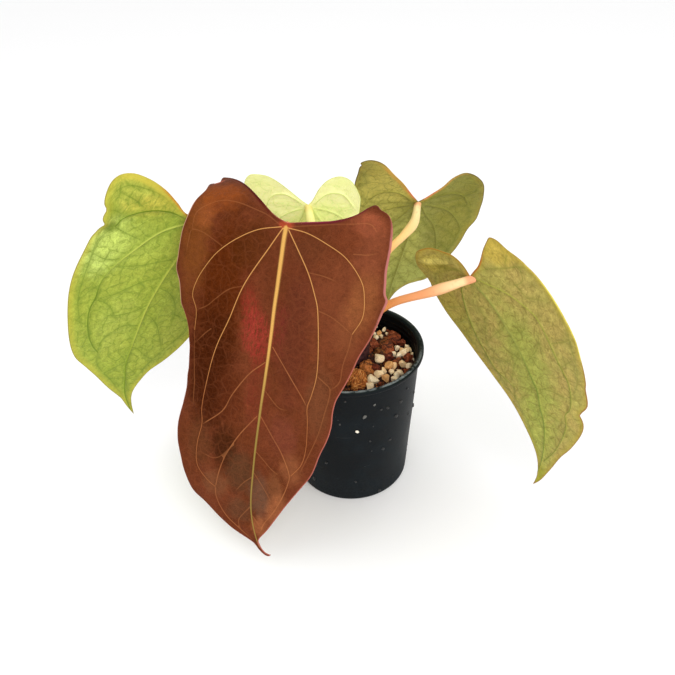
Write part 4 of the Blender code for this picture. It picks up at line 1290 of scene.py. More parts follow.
def make_blade(leaf, settings):
    """One blade as a closed sheet whose raised veins, quilting and thin margin are modelled."""
    raised, fine = all_veins(leaf)
    outline, inner = blade_points(leaf, raised, fine, settings.mesh_spacing / MM)
    flat = np.vstack([outline, inner])
    triangles = triangles_within(outline, inner)
    vein, ridge, near, clear = vein_fields(flat, raised, fine, leaf.strong)
    rim, _ = nearest(flat, outline)
    rim[: len(outline)] = 0.0
    thin = np.clip(rim / THIN_MARGIN, 0, 1)
    half = BLADE_THICKNESS / 2 * (EDGE_SHARE + (1 - EDGE_SHARE) * np.sqrt(thin * (2 - thin)))
    between = np.minimum(vein[:, 0] * 0.5, near * 0.5)
    puff = settings.quilting / MM * (1 - np.exp(-((between / QUILT_REACH) ** 2))) * thin
    ripple = np.array([noise.noise((u * RIPPLE_SCALE, v * RIPPLE_SCALE, 3.0)) for u, v in flat])
    shape = puff + RIPPLE_HEIGHT * ripple * np.clip(rim / RIPPLE_MARGIN, 0, 1)
    upper = on_leaf(leaf, flat, shape + half + ridge * UPPER_RIDGE_SHARE)
    lower = on_leaf(leaf, flat, shape - half - ridge)
    count, edge = len(flat), len(outline)
    loop = np.arange(edge)
    after = np.roll(loop, -1)
    walls = np.stack([loop, loop + count, after + count, after], axis=1)
    faces = [*triangles, *(triangles[:, ::-1] + count), *walls]
    names = (f"{leaf.name}_upper", f"{leaf.name}_under")
    skins = [leaf_face(name, LOOKS[name]) for name in names]
    under = np.concatenate([np.zeros(len(triangles)), np.ones(len(triangles) + edge)])
    points = drawn_in(np.vstack([upper, lower]), leaf.joint)
    blade = new_object(f"leaf_{leaf.name}", points, faces, skins, under)
    blade.data.shade_smooth()
    plan = np.column_stack([flat / PLAN_UNIT, np.zeros(count)])
    margin = np.column_stack([near, clear, np.clip(rim, 0, 20)])
    for name, values in (("plan", plan), ("vein", vein), ("margin", margin)):
        store(blade, name, np.vstack([values, values]))
    join_frame(blade, leaf.slot, f"blade_{leaf.name}")


class BladeSettings(bpy.types.PropertyGroup):
    """Sizes of the leaf blades."""

    mesh_spacing: FloatProperty(
        name="Mesh spacing",
        description="Distance between the points of a blade",
        default=0.0013,
        unit="LENGTH",
    )
    quilting: FloatProperty(
        name="Quilting",
        description="How far the blade bulges between its veins",
        default=0.00035,
        unit="LENGTH",
    )


class PLANT_OT_blades(bpy.types.Operator):
    """Make the five leaf blades."""

    bl_idname = "plant.blades"
    bl_label = "Leaf Blades"

    def execute(self, context):
        for leaf in LEAVES:
            make_blade(leaf, context.scene.plant_blades)
        return {"FINISHED"}


def keep_modified(thing):
    """Apply an object's modifiers."""
    bpy.context.view_layer.update()
    graph = bpy.context.evaluated_depsgraph_get()
    mesh = bpy.data.meshes.new_from_object(thing.evaluated_get(graph))
    thing.modifiers.clear()
    thing.data = mesh


def grow(thing, name, sizes, build):
    """Run a geometry node tree on an object once, and keep the mesh that it makes."""
    group = bpy.data.node_groups.new(name, "GeometryNodeTree")
    ends = group.interface
    ends.new_socket("Geometry", in_out="INPUT", socket_type="NodeSocketGeometry")
    ends.new_socket("Geometry", in_out="OUTPUT", socket_type="NodeSocketGeometry")
    keys = {}
    for label in sizes:
        made = ends.new_socket(label, in_out="INPUT", socket_type="NodeSocketFloat")
        keys[label] = made.identifier
    tree = Tree(group)
    shape = build(tree, tree.node("NodeGroupInput"))
    tree.node("NodeGroupOutput", None, {0: shape})
    modifier = thing.modifiers.new(name, "NODES")
    modifier.node_group = group
    for label, value in sizes.items():
        modifier[keys[label]] = value
    keep_modified(thing)


def stalk_skin(name, near, middle, far, joint):
    """The skin of a stalk: its colour drifts along it, with painted shade on its underside, fine
    streaks and a blushed joint.
    """

    def build(tree):
        left = tree.attribute("left")
        place = tree.place()
        colour = tree.mix(tree.step(left, 6.0, 34.0), near, middle)
        colour = tree.mix(tree.step(left, 30.0, 62.0), colour, far)
        # Painted shade: the faces that look down take the darker foot colour.
        shade = tree.attribute("topside")
        mottle = tree.noise(place, 260.0, 4.0, 0.65)
        colour = tree.mix(tree.step(shade, 0.1, -0.9) * 0.55, colour, far)
        colour = tree.mix(tree.step(mottle, 0.55, 0.75) * 0.3, colour, joint)
        colour = tree.mix((1.0 - tree.step(left, 0.5, 4.5)) * 0.6, colour, joint)
        streaks = tree.noise(tree.vectors("MULTIPLY", place, (900.0, 900.0, 90.0)), 1.0, 2.0)
        normal = tree.bump(streaks + mottle, 0.0001)
        return colour, 0.42 + 0.16 * mottle, normal

    return finish(name, build, 0.25)


def stalk_path(leaf):
    """The stalk's centre line up to the blade's lower side, and the plane that ends it."""
    _, _, _, upper = bend(leaf, np.array([0.0]))
    seat = np.array(leaf.joint, float) - upper[0] * (BLADE_THICKNESS / 2 + REST_GAP)
    path = spline(np.vstack([leaf.stalk, seat]), STALK_STEP)
    return path[round(SHEATH_LENGTH / STALK_STEP) + 1 :], seat, upper[0]


def make_stalk(leaf, settings):
    """A leaf stalk swept along its path, thicker at its foot and at the knuckle below the blade."""
    path, seat, facing = stalk_path(leaf)
    passed = STALK_STEP * np.arange(len(path))
    left = passed[::-1]
    width = STALK_RADIUS + FOOT_FLARE * np.exp(-passed / FOOT_LENGTH)
    swell = np.exp(-(((left - KNUCKLE_FROM_BLADE) / KNUCKLE_LENGTH) ** 2))
    width += (KNUCKLE_RADIUS - STALK_RADIUS) * swell
    wave = np.array([noise.noise((d * 0.08, 0.0, len(leaf.name))) for d in passed])
    width += 0.08 * wave * np.clip(left / 10, 0, 1)
    rows = np.unique(np.append(np.arange(0, len(path), STALK_ROW), len(path) - 1))
    edges = [(k, k + 1) for k in range(len(rows) - 1)]
    line = new_object(f"stalk_{leaf.name}", path[rows], [], [], edges=edges)
    store(line, "width", width[rows] * MM)
    store(line, "left", left[rows])
    skin = stalk_skin(f"stalk_{leaf.name}", *STALK_COLOURS[leaf.name])

    def build(tree, start):
        curve = tree.node("GeometryNodeMeshToCurve", None, {0: start.at("Geometry")})
        ring = {"Resolution": settings.sides, "Radius": 1.0}
        ring = tree.node("GeometryNodeCurvePrimitiveCircle", None, ring)
        scale = tree.node("GeometryNodeInputNamedAttribute", None, {"Name": "width"})
        sockets = {"Curve": curve, "Profile Curve": ring, "Fill Caps": True}
        sockets["Scale"] = scale * start.at("Thickness")
        tube = tree.node("GeometryNodeCurveToMesh", None, sockets)
        tube = tree.node("GeometryNodeRealizeInstances", None, {0: tube})
        return tree.node("GeometryNodeSetMaterial", None, {"Geometry": tube, "Material": skin})

    grow(line, "stalk", {"Thickness": settings.thickness}, build)
    cut_stalk_end(line, seat, facing, path[-1] - path[-2])
    # Which way each point faces up, for the painted shade on the stalk's underside.
    store(line, "topside", [v.normal.z for v in line.data.vertices])
    line.data.shade_smooth()
    join_frame(line, STALK_SLOTS[leaf.name], f"petiole_{leaf.name}")


def cut_stalk_end(stalk, seat, facing, ahead):
    """Bring the stalk's last ring onto the plane of the blade's lower side."""
    seat, facing, ahead = (Vector(v) for v in (seat, facing, ahead))
    lefts = stalk.data.attributes["left"].data
    for vertex, left in zip(stalk.data.vertices, lefts):
        if left.value < STALK_STEP / 2:
            short = (seat * MM - vertex.co).dot(facing) / ahead.dot(facing)
            vertex.co += ahead * short
    stalk.data.update()


class StalkSettings(bpy.types.PropertyGroup):
    """Sizes of the leaf stalks."""

    sides: IntProperty(name="Sides", description="Sides of a stalk's section", default=26)
    thickness: FloatProperty(name="Thickness", description="Share of the planned width", default=1.0)


class PLANT_OT_stalks(bpy.types.Operator):
    """Make the five leaf stalks."""

    bl_idname = "plant.stalks"
    bl_label = "Leaf Stalks"

    def execute(self, context):
        for leaf in LEAVES:
            make_stalk(leaf, context.scene.plant_stalks)
        return {"FINISHED"}


def reshape(thing, change):
    """Run one change of bmesh on an object's mesh."""
    shape = bmesh.new()
    shape.from_mesh(thing.data)
    change(shape)
    shape.to_mesh(thing.data)
    shape.free()


def turn_outwards(thing):
    """Let all the faces look outwards."""
    reshape(thing, lambda shape: bmesh.ops.recalc_face_normals(shape, faces=shape.faces))


def lathe(name, profile, sides, materials, centre=(0.0, 0.0)):
    """Turn a profile of (radius, height) points, which starts and ends on the axis."""
    turns = 2 * np.pi * np.arange(sides) / sides
    circle = np.column_stack([np.cos(turns), np.sin(turns)])
    points = [(*centre, profile[0][1]), (*centre, profile[-1][1])]
    for radius, height in profile[1:-1]:
        points += [(centre[0] + radius * x, centre[1] + radius * y, height) for x, y in circle]
    faces = []
    for k in range(sides):
        after = (k + 1) % sides
        last = 2 + (len(profile) - 3) * sides
        faces += [(0, 2 + after, 2 + k), (1, last + k, last + after)]
        for low in range(2, last, sides):
            faces.append((low + k, low + after, low + sides + after, low + sides + k))
    thing = new_object(name, points, faces, materials)
    turn_outwards(thing)
    return thing


def inner_radius(height):
    """The pot's inner wall radius at a height."""
    return BASE_RADIUS - WALL + (WALL_TOP_RADIUS - BASE_RADIUS) * height / (POT_HEIGHT - RIM_DEPTH)


def pot_profile():
    """The pot's section: ring foot, tapered wall, rolled lip, three inner rings and floor."""
    under_rim = POT_HEIGHT - RIM_DEPTH
    profile = [(0, 0), (DISC_RADIUS, 0), (DISC_RADIUS + 0.7, 0.5), (DISC_RADIUS + 1.5, FLOOR_RECESS)]
    profile += [(FOOT_RING - 1.5, FLOOR_RECESS), (FOOT_RING - 0.7, 0.5), (FOOT_RING, 0)]
    profile += [(BASE_RADIUS - 1.6, 0), (BASE_RADIUS - 0.6, 0.4), (BASE_RADIUS, 1.6)]
    slope = (WALL_TOP_RADIUS - BASE_RADIUS) / (under_rim - 1.6)
    for height in np.arange(4.0, under_rim - 1, 3.0):
        profile.append((BASE_RADIUS + slope * (height - 1.6), height))
    profile += [(WALL_TOP_RADIUS, under_rim - 0.2), (RIM_RADIUS - 1.0, under_rim + 0.1)]
    lip = (RIM_RADIUS + WALL_TOP_RADIUS - 0.6) / 2
    profile += [(RIM_RADIUS - 0.3, under_rim + 0.4), (RIM_RADIUS, under_rim + 0.9)]
    for turn in np.radians(np.arange(0, 181, 20)):
        profile.append(
            (lip + (RIM_RADIUS - lip) * math.cos(turn), POT_HEIGHT - 1.1 + 1.1 * math.sin(turn))
        )
    profile.append((inner_radius(under_rim), POT_HEIGHT - 1.8))
    for ring in INNER_RINGS:
        for step in RING_HALF_HEIGHT * np.array((1.0, 0.5, 0.0, -0.5, -1.0)):
            proud = RING_DEPTH * (1 - (step / RING_HALF_HEIGHT) ** 2)
            profile.append((inner_radius(ring + step) - proud, ring + step))
    profile += [(inner_radius(height), height) for height in (80, 60, 40, 20, FLOOR + 1.4)]
    return [*profile, (BASE_RADIUS - WALL - 1.4, FLOOR), (0, FLOOR)]


def plastic(tree):
    """Black plastic, grey near the base with dust and painted sheen, with a painted highlight along
    the front of the lip, painted shade inside and fine scratches.
    """
    place = tree.place()
    _, depth, height = tree.parts(place)
    height = height / MM
    cloud = tree.noise(place, 55.0, 5.0, 0.6)
    grit = tree.noise(place, 900.0, 3.0, 0.7)
    colour = tree.mix(tree.step(cloud, 0.4, 0.7), "080c0f", "0d1418")
    # Paler grey speckle towards the base: dust, and painted sheen of the lower wall.
    dust = (1.0 - tree.step(height, 3.0, 34.0)) * 0.7 + 0.1
    colour = tree.mix(dust * tree.step(grit, 0.3, 0.7) * 0.7, colour, "262b2e")
    crest = tree.step(height, POT_HEIGHT - 1.0, POT_HEIGHT - 0.5)
    colour = tree.mix(crest * 0.8, colour, "121c1a")
    # Painted highlight: a broken pale line along the crest of the lip, on the front side only.
    front = tree.step(depth / MM, 5.0, -35.0)
    highlight_noise = tree.step(tree.noise(place, 160.0, 5.0, 0.7), 0.38, 0.6)
    lip_highlight = tree.step(height, POT_HEIGHT - 0.35, POT_HEIGHT - 0.05) * highlight_noise
    colour = tree.mix(lip_highlight * (front * 0.75 + 0.1), colour, "8a9496")
    # Painted shade: the inner wall of the pot is darkened to near black.
    colour = tree.mix(tree.attribute("inner") * 0.8, colour, "040405")
    stretched = tree.vectors("MULTIPLY", place, (60.0, 60.0, 700.0))
    scratches = tree.step(tree.noise(stretched, 1.0, 3.0, 0.7), 0.66, 0.74)
    colour = tree.mix(scratches * 0.2, colour, "3a3e40")
    return colour, 0.34 + 0.2 * cloud + 0.2 * dust, tree.bump(grit + scratches * 0.5, 0.00008)


def crumb_skin(tree):
    """Wet potting dust and one pale grain that cling to the pot's wall."""
    tint = tree.attribute("tint")
    colour = tree.ramp(tint, "0a0b0c", "14110f", "6f6e68", "f6ecd8")
    return colour, 0.5, None


def cut_drain_holes(pot):
    """Cut a ring of round holes through the pot's floor."""
    drills = bpy.data.collections.new("drills")
    bpy.context.scene.collection.children.link(drills)
    for k in range(DRAIN_HOLES):
        turn = 2 * math.pi * (k + 0.5) / DRAIN_HOLES
        centre = (DRAIN_CIRCLE * math.cos(turn), DRAIN_CIRCLE * math.sin(turn))
        rod = [(0, -2), (DRAIN_RADIUS, -2), (DRAIN_RADIUS, FLOOR + 2), (0, FLOOR + 2)]
        drill = lathe("drill", rod, 28, [], centre)
        bpy.context.scene.collection.objects.unlink(drill)
        drills.objects.link(drill)
    boolean = pot.modifiers.new("drain_holes", "BOOLEAN")
    boolean.operand_type = "COLLECTION"
    boolean.collection = drills
    keep_modified(pot)
    for drill in list(drills.objects):
        bpy.data.objects.remove(drill)
    bpy.data.collections.remove(drills)


def make_pot(settings):
    """The pot, turned from its section, with a wall that isn't quite round."""
    skin = finish("pot_plastic", plastic, 0.08)
    pot = lathe("nursery_pot", pot_profile(), settings.sides, [skin])
    cut_drain_holes(pot)
    for vertex in pot.data.vertices:
        sway = noise.noise(vertex.co * 22.0) * settings.unevenness
        away = Vector((vertex.co.x, vertex.co.y, 0)).length
        if 0.01 < away < (RIM_RADIUS - 1.2) * MM and vertex.co.z > 5 * MM:
            vertex.co.x *= 1 + sway / away
            vertex.co.y *= 1 + sway / away
    pot.data.update()
    # Mark the inner wall, where the plastic's skin paints shade.
    inner = []
    for vertex in pot.data.vertices:
        out = vertex.normal.x * vertex.co.x + vertex.normal.y * vertex.co.y
        inner.append(float(out < -0.01 * RIM_RADIUS * MM and vertex.co.z < (POT_HEIGHT - 1.5) * MM))
    store(pot, "inner", inner)
    pot.data.shade_smooth()
    pot.data.set_sharp_from_angle(angle=math.radians(50))
    join_frame(pot, "pot_plastic", "pot")


def rounded_block(detail, squareness):
    """Points and faces of a unit ball pulled towards a cube."""
    shape = bmesh.new()
    bmesh.ops.create_icosphere(shape, subdivisions=detail, radius=1.0)
    points = np.array([v.co for v in shape.verts])
    faces = np.array([[v.index for v in f.verts] for f in shape.faces])
    shape.free()
    size = np.sum(np.abs(points) ** squareness, axis=1) ** (1 / squareness)
    return points / size[:, None], faces


def stone(block, centre, radii, draw, rough, grain, lean=0.5):
    """One irregular lump: a block stretched, roughened by noise and turned at random."""
    seed = Vector(draw.uniform(-50, 50, 3))
    reach = []
    for point in block:
        coarse = noise.noise(Vector(point) * 1.3 + seed)
        fine = noise.fractal(Vector(point) * grain + seed, 0.8, 2.0, 3)
        reach.append(1 + rough * (coarse * 1.2 + fine * 0.35))
    shaped = block * np.array(reach)[:, None] * np.array(radii)
    turn = Matrix.Rotation(draw.uniform(0, 6.28), 3, "Z")
    turn = turn @ Matrix.Rotation(draw.uniform(-lean, lean), 3, "X")
    turn = turn @ Matrix.Rotation(draw.uniform(-lean, lean), 3, "Y")
    return shaped @ np.array(turn).T + np.array(centre)


def facet(block, draw, cuts):
    """A ball cut flat by planes at random turns."""
    shaped = block.copy()
    for _ in range(cuts):
        facing = draw.normal(size=3)
        facing /= np.linalg.norm(facing)
        over = np.clip(shaped @ facing - draw.uniform(0.5, 0.78), 0, None)
        shaped -= over[:, None] * facing
    return shaped


def pile(name, lumps, faces, skin):
    """One object of many lumps that share the same faces."""
    joined = [faces + k * len(lumps[0]) for k in range(len(lumps))]
    return new_object(name, np.vstack(lumps), np.vstack(joined), [skin])


def heap(name, stones, faces, tints, skin):
    """A pile in which each stone has its own tint."""
    thing = pile(name, stones, faces, skin)
    store(thing, "tint", np.repeat(tints, len(stones[0])))
    thing.data.shade_smooth()
    return thing


def make_wall_crumbs():
    """Dust, dried drops and one pale grain on the outside of the pot."""
    draw = np.random.default_rng(3)
    block, faces = rounded_block(detail=3, squareness=2.2)
    stones, tints = [], []
    marks = list(WALL_MARKS)
    for _ in range(DUST_SPECKS):
        marks.append((draw.uniform(-180, 180), draw.uniform(3, 98), draw.uniform(0.25, 0.6), 0.1))
    for turn, height, size, tint in marks:
        angle = math.radians(turn)
        radius = inner_radius(height) + WALL
        centre = (radius * math.cos(angle), radius * math.sin(angle), height)
        radii = size * DUST_RADII
        flat = stone(block, (0, 0, 0), radii, draw, rough=0.3, grain=2.0, lean=0.2)
        out = np.array([math.cos(angle), math.sin(angle), 0.0])
        side = np.array([-out[1], out[0], 0.0])
        up = np.array([0.0, 0.0, 1.0])
        stones.append(flat[:, :1] * side + flat[:, 1:2] * up + flat[:, 2:] * out + centre)
        tints.append(tint)
    crumbs = heap("wall_crumbs", stones, faces, tints, finish("wall_crumbs", crumb_skin))
    join_frame(crumbs, "pot_plastic")


class PotSettings(bpy.types.PropertyGroup):
    """Sizes of the pot."""

    sides: IntProperty(name="Sides", description="Sides of the pot's rings", default=144)
    unevenness: FloatProperty(
        name="Unevenness",
        description="How far the moulded wall strays from round",
        default=0.00012,
        unit="LENGTH",
    )


class PLANT_OT_pot(bpy.types.Operator):
    """Make the pot and the dust on its wall."""

    bl_idname = "plant.pot"
    bl_label = "Pot"

    def execute(self, context):
        make_pot(context.scene.plant_pot)
        make_wall_crumbs()
        return {"FINISHED"}


def bark_skin(tree):
    """Damp bark: each chip has its own brown, with painted shade in its hollows and painted highlights
    on its bumps.
    """
    place = tree.place()
    tint = tree.attribute("tint")
    mottle = tree.noise(place, 330.0, 5.0, 0.75)
    colour = tree.ramp(tint, "4a1b10", "742a12", "9c4c24", "82521f", "ba682e", "d08a42")
    # Painted shade: dark where the bump is low.
    colour = tree.mix(tree.step(mottle, 0.54, 0.42) * 0.85, colour, "230d08")
    # Painted highlight: pale pink where the bump is high.
    colour = tree.mix(tree.step(mottle, 0.56, 0.68) * 0.6, colour, "d0906a")
    return colour, 0.62 + 0.3 * mottle, tree.bump(mottle, 0.0012)


def soil_skin(tree):
    """The dark damp crumb between the chips."""
    place = tree.place()
    mottle = tree.noise(place, 500.0, 5.0, 0.7)
    colour = tree.ramp(mottle, "100604", "2a130c", "50291a", "7c4a30")
    return colour, 0.9, tree.bump(mottle, 0.001)


def perlite_skin(tree):
    """Pale porous grain, stained orange where its tint says so."""
    place = tree.place()
    pores = tree.noise(place, 1300.0, 3.0, 0.6)
    cloud = tree.noise(place, 260.0, 3.0, 0.6)
    colour = tree.ramp(tree.attribute("tint"), "fff0cc", "ffe0ac", "f6c080", "dc8e40")
    colour = tree.mix(tree.step(cloud, 0.52, 0.72) * 0.35, colour, "e2b078")
    colour = tree.mix(tree.step(pores, 0.42, 0.3) * 0.5, colour, "a06a3c")
    return colour, 0.85, tree.bump(pores + cloud, 0.0004)


def soil_height(x, y):
    """Height of the bed's rough top."""
    rough = noise.fractal(Vector((x * 0.11, y * 0.11, 5.0)), 0.7, 2.1, 5)
    return MIX_TOP - 0.6 + 1.3 * rough


def make_bed():
    """The bed of damp crumb, closed below, with a rough top inside the pot's wall."""
    radius = inner_radius(MIX_TOP) - BED_WALL_GAP
    turns = 2 * np.pi * np.arange(BED_SIDES) / BED_SIDES
    rim = radius * np.column_stack([np.cos(turns), np.sin(turns)])
    grid = hex_grid((-BED_REACH, -BED_REACH), (BED_REACH, BED_REACH), BED_SPACING)
    grid = grid[np.linalg.norm(grid, axis=1) < radius - 0.7]
    flat = np.vstack([rim, grid])
    top = np.column_stack([flat, [soil_height(x, y) for x, y in flat]])
    faces = [tuple(face) for face in triangles_within(rim, grid)]
    points = [top]
    above = np.arange(len(rim))
    count = len(top)
    for level, room in ((80.0, 0.6), (40.0, 0.6), (9.0, 0.6), (FLOOR + REST_GAP, 2.0)):
        ring = rim / radius * (inner_radius(level) - room)
        points.append(np.column_stack([ring, np.full(len(ring), level)]))
        below = np.arange(count, count + len(rim))
        faces += list(zip(above, below, np.roll(below, -1), np.roll(above, -1)))
        above, count = below, count + len(rim)
    faces.append(tuple(above[::-1]))
    bed = new_object("potting_bed", np.vstack(points), faces, [finish("damp_crumb", soil_skin)])
    turn_outwards(bed)
    bed.data.shade_smooth()
    join_frame(bed, "bark_mix", "potting_mix")
    return flat, top, triangles_within(rim, grid)


def from_wall(flat, room):
    """1 for the points that lie at least this far from the pot's inner wall, 0 for the others."""
    return (np.linalg.norm(flat, axis=1) < inner_radius(MIX_TOP) - room).astype(float)


def openness(flat):
    """1 where loose chips may lie, 0 by the wall, the stem, the grains and the placed chips."""
    room = from_wall(flat, CHIP_ROOM)
    taken = [(STEM_X, STEM_Y, STEM_CLEARANCE), (*BARK_PIECE, BARK_PIECE_CLEARANCE)]
    for grains in GRAINS.values():
        taken += [(x, y, size / 2 + GRAIN_CLEARANCE) for x, y, size, *_ in grains]
    taken += [(x, y, size * CHUNK_CLEARANCE) for x, y, size, *_ in BARK_CHUNKS]
    for x, y, reach in taken:
        room[np.linalg.norm(flat - (x, y), axis=1) < reach] = 0.0
    return room


def chip_tree(skin, detail):
    """A tree that scatters angular chips over the bed, each turned and sized at random."""

    def build(tree, start):
        sockets = {"Mesh": start.at("Geometry"), "Distance Min": start.at("Spacing")}
        sockets.update({"Density Max": 4.0e5, "Seed": detail * 10})
        room = tree.node("GeometryNodeInputNamedAttribute", None, {"Name": "room"})
        sockets["Density Factor"] = room
        method = {"distribute_method": "POISSON"}
        points = tree.node("GeometryNodeDistributePointsOnFaces", method, sockets)
        heaps = []
        for form in range(3):
            ball = {"Radius": 1.0, "Subdivisions": detail}
            ball = tree.node("GeometryNodeMeshIcoSphere", None, ball)
            place = tree.vectors("ADD", tree.node("GeometryNodeInputPosition"), (form * 5.0, 0, 0))
            waves = {"Vector": place, "Scale": 1.1, "Detail": 2.0}
            waves = tree.node("ShaderNodeTexNoise", None, waves, out=1)
            shift = tree.vectors("SUBTRACT", waves, (0.5, 0.5, 0.5))
            shift = tree.vectors("MULTIPLY", shift, (1.9, 1.9, 1.9))
            chip = {"Geometry": ball, "Offset": shift}
            chip = tree.node("GeometryNodeSetPosition", None, chip)
            kind = {"data_type": "INT"}
            pick = tree.node("FunctionNodeRandomValue", kind, {4: 0, 5: 2, "Seed": 5}, out=2)
            chosen = pick.maths("COMPARE", pick, float(form), 0.5)
            kind = {"data_type": "FLOAT_VECTOR"}
            turn = tree.node("FunctionNodeRandomValue", kind, {0: (0, 0, 0), 1: (6.3, 6.3, 6.3)})
            span = {0: (0.8, 0.45, 0.35), 1: (1.3, 1.0, 0.8), 8: 9}
            size = tree.node("FunctionNodeRandomValue", kind, span)
            size = tree.scaled(size, start.at("Size"))
            sockets = {"Points": points, "Selection": chosen, "Instance": chip}
            sockets.update({"Rotation": turn, "Scale": size})
            heaps.append(tree.node("GeometryNodeInstanceOnPoints", None, sockets))
        chips = tree.node("GeometryNodeJoinGeometry", None, {0: heaps})
        tint = tree.node("FunctionNodeRandomValue", {"data_type": "FLOAT"}, {"Seed": 21}, out=1)
        settings = {"data_type": "FLOAT", "domain": "INSTANCE"}
        sockets = {"Geometry": chips, "Name": "tint", "Value": tint}
        chips = tree.node("GeometryNodeStoreNamedAttribute", settings, sockets)
        chips = tree.node("GeometryNodeRealizeInstances", None, {0: chips})
        return tree.node("GeometryNodeSetMaterial", None, {"Geometry": chips, "Material": skin})

    return build


def scatter(name, skin, top, faces, room, spacing, size, detail):
    """Loose pieces over the bed's top, grown by geometry nodes on a copy of it."""
    thing = new_object(name, top, faces, [])
    store(thing, "room", room)
    grow(thing, name, {"Spacing": spacing, "Size": size}, chip_tree(skin, detail))
    join_frame(thing, "bark_mix")


def within_wall(points):
    """Points pressed inwards where they would pass the pot's inner wall."""
    away = np.linalg.norm(points[:, :2], axis=1)
    share = np.minimum(1.0, (inner_radius(MIX_TOP) - WALL_ROOM) / np.maximum(away, 1.0))
    return np.column_stack([points[:, :2] * share[:, None], points[:, 2]])


def make_chunks(skin):
    """The larger bark chips, placed where they lie in the pot."""
    draw = np.random.default_rng(7)
    block, faces = rounded_block(detail=4, squareness=2.0)
    stones, tints = [], []
    for x, y, size, tint in BARK_CHUNKS:
        centre = (x, y, soil_height(x, y) + size * CHUNK_RISE)
        radii = size * CHUNK_RADII
        lump = stone(facet(block, draw, CHUNK_CUTS), centre, radii, draw, rough=0.24, grain=3.4)
        stones.append(within_wall(lump))
        tints.append(tint)
    join_frame(heap("bark_chunks", stones, faces, tints, skin), "bark_mix")


def make_perlite():
    """Three heaps of pale grains and the strays near them."""
    draw = np.random.default_rng(17)
    block, faces = rounded_block(detail=4, squareness=2.0)
    skin = finish("perlite", perlite_skin, 0.2)
    for node, grains in GRAINS.items():
        stones, tints = [], []
        for x, y, size, tint, rise in grains:
            radii = size * draw.uniform(*GRAIN_RADII, 3)
            centre = (x, y, MIX_TOP + size * GRAIN_RISE + rise)
            cut = facet(block, draw, GRAIN_CUTS)
            grain = stone(cut, centre, radii, draw, rough=0.1, grain=3.0, lean=1.2)
            stones.append(within_wall(grain))
            tints.append(tint)
        join_frame(heap(node + "_grains", stones, faces, tints, skin), "perlite", node)


class MixSettings(bpy.types.PropertyGroup):
    """Sizes of the loose pieces on the potting mix."""

    chip_size: FloatProperty(
        name="Chip size", description="Radius of a bark chip", default=0.0024, unit="LENGTH"
    )
    chip_spacing: FloatProperty(
        name="Chip spacing", description="Room round a bark chip", default=0.0036, unit="LENGTH"
    )
    crumb_size: FloatProperty(
        name="Crumb size", description="Radius of a crumb", default=0.0008, unit="LENGTH"
    )
    crumb_spacing: FloatProperty(
        name="Crumb spacing", description="Room round a crumb", default=0.0016, unit="LENGTH"
    )


class PLANT_OT_mix(bpy.types.Operator):
    """Make the potting mix: its bed, bark chips, crumbs and perlite grains."""

    bl_idname = "plant.mix"
    bl_label = "Potting Mix"

    def execute(self, context):
        sizes = context.scene.plant_mix
        bark = finish("bark_chips", bark_skin, 0.3)
        flat, top, faces = make_bed()
        bed = (bark, top, faces)
        anywhere = from_wall(flat, CRUMB_ROOM)
        scatter("bark_chips", *bed, openness(flat), sizes.chip_spacing, sizes.chip_size, 3)
        scatter("bark_crumbs", *bed, anywhere, sizes.crumb_spacing, sizes.crumb_size, 2)
        make_chunks(bark)
        make_perlite()
        make_bark_piece()
        return {"FINISHED"}


def fibre_skin(tree):
    """Orange-brown fibrous bark, streaked along its grain."""
    along = tree.attribute("grain", "Vector")
    streaks = tree.noise(tree.vectors("MULTIPLY", along, (0.35, 2.6, 2.6)), 1.0, 4.0, 0.65)
    colour = tree.ramp(tree.step(streaks, 0.25, 0.75), "2c1006", "964c1e", "d48438", "f8cc84")
    return colour, 0.75, tree.bump(streaks, 0.0006)


def make_bark_piece():
    """A clump of split coarse bark with loose fibres, next to the stem."""
    draw = np.random.default_rng(29)
    block, faces = rounded_block(detail=5, squareness=4.0)
    points, grains = [], []
    for x, y, rise, radii, turn, tilt in BARK_SPLINTERS:
        seed = Vector(draw.uniform(-50, 50, 3))
        reach = []
        for p in block:
            ridge = noise.noise(Vector((p[0] * 0.5, p[1] * 4.5, p[2] * 4.5)) + seed)
            swell = noise.noise(Vector(p) * 1.5 + seed)
            reach.append(1 + SPLINTER_RIDGES * ridge + SPLINTER_SWELL * swell)
        shaped = block * np.array(reach)[:, None] * np.array(radii)
        spin = Matrix.Rotation(math.radians(turn), 3, "Z")
        spin = spin @ Matrix.Rotation(math.radians(tilt), 3, "Y")
        points.append(shaped @ np.array(spin).T + (x, y, MIX_TOP + rise))
        grains.append(shaped + draw.uniform(-30, 30, 3))
    skin = finish("bark_fibre", fibre_skin, 0.25)
    piece = pile("split_bark", points, faces, skin)
    store(piece, "grain", np.vstack(grains))
    piece.data.shade_smooth()
    join_frame(piece, "bark_fibre", "bark_piece")


def stem_skin(tree):
    """Dark purple-brown stem with corky patches and dried bract edges."""
    place = tree.place()
    mottle = tree.noise(place, 180.0, 5.0, 0.65)
    streaks = tree.noise(tree.vectors("MULTIPLY", place, (500.0, 500.0, 60.0)), 1.0, 3.0, 0.6)
    height = tree.parts(place)[2] / MM
    colour = tree.ramp(tree.step(mottle, 0.3, 0.75), "1f0f12", "3a1f22", "5c3836")
    colour = tree.mix(tree.step(streaks, 0.55, 0.75) * 0.4, colour, "7a4a34")
    colour = tree.mix(tree.step(height, MIX_TOP + 14, MIX_TOP + 32), colour, "b06a48")
    return colour, 0.5 + 0.3 * mottle, tree.bump(mottle + streaks, 0.0005)


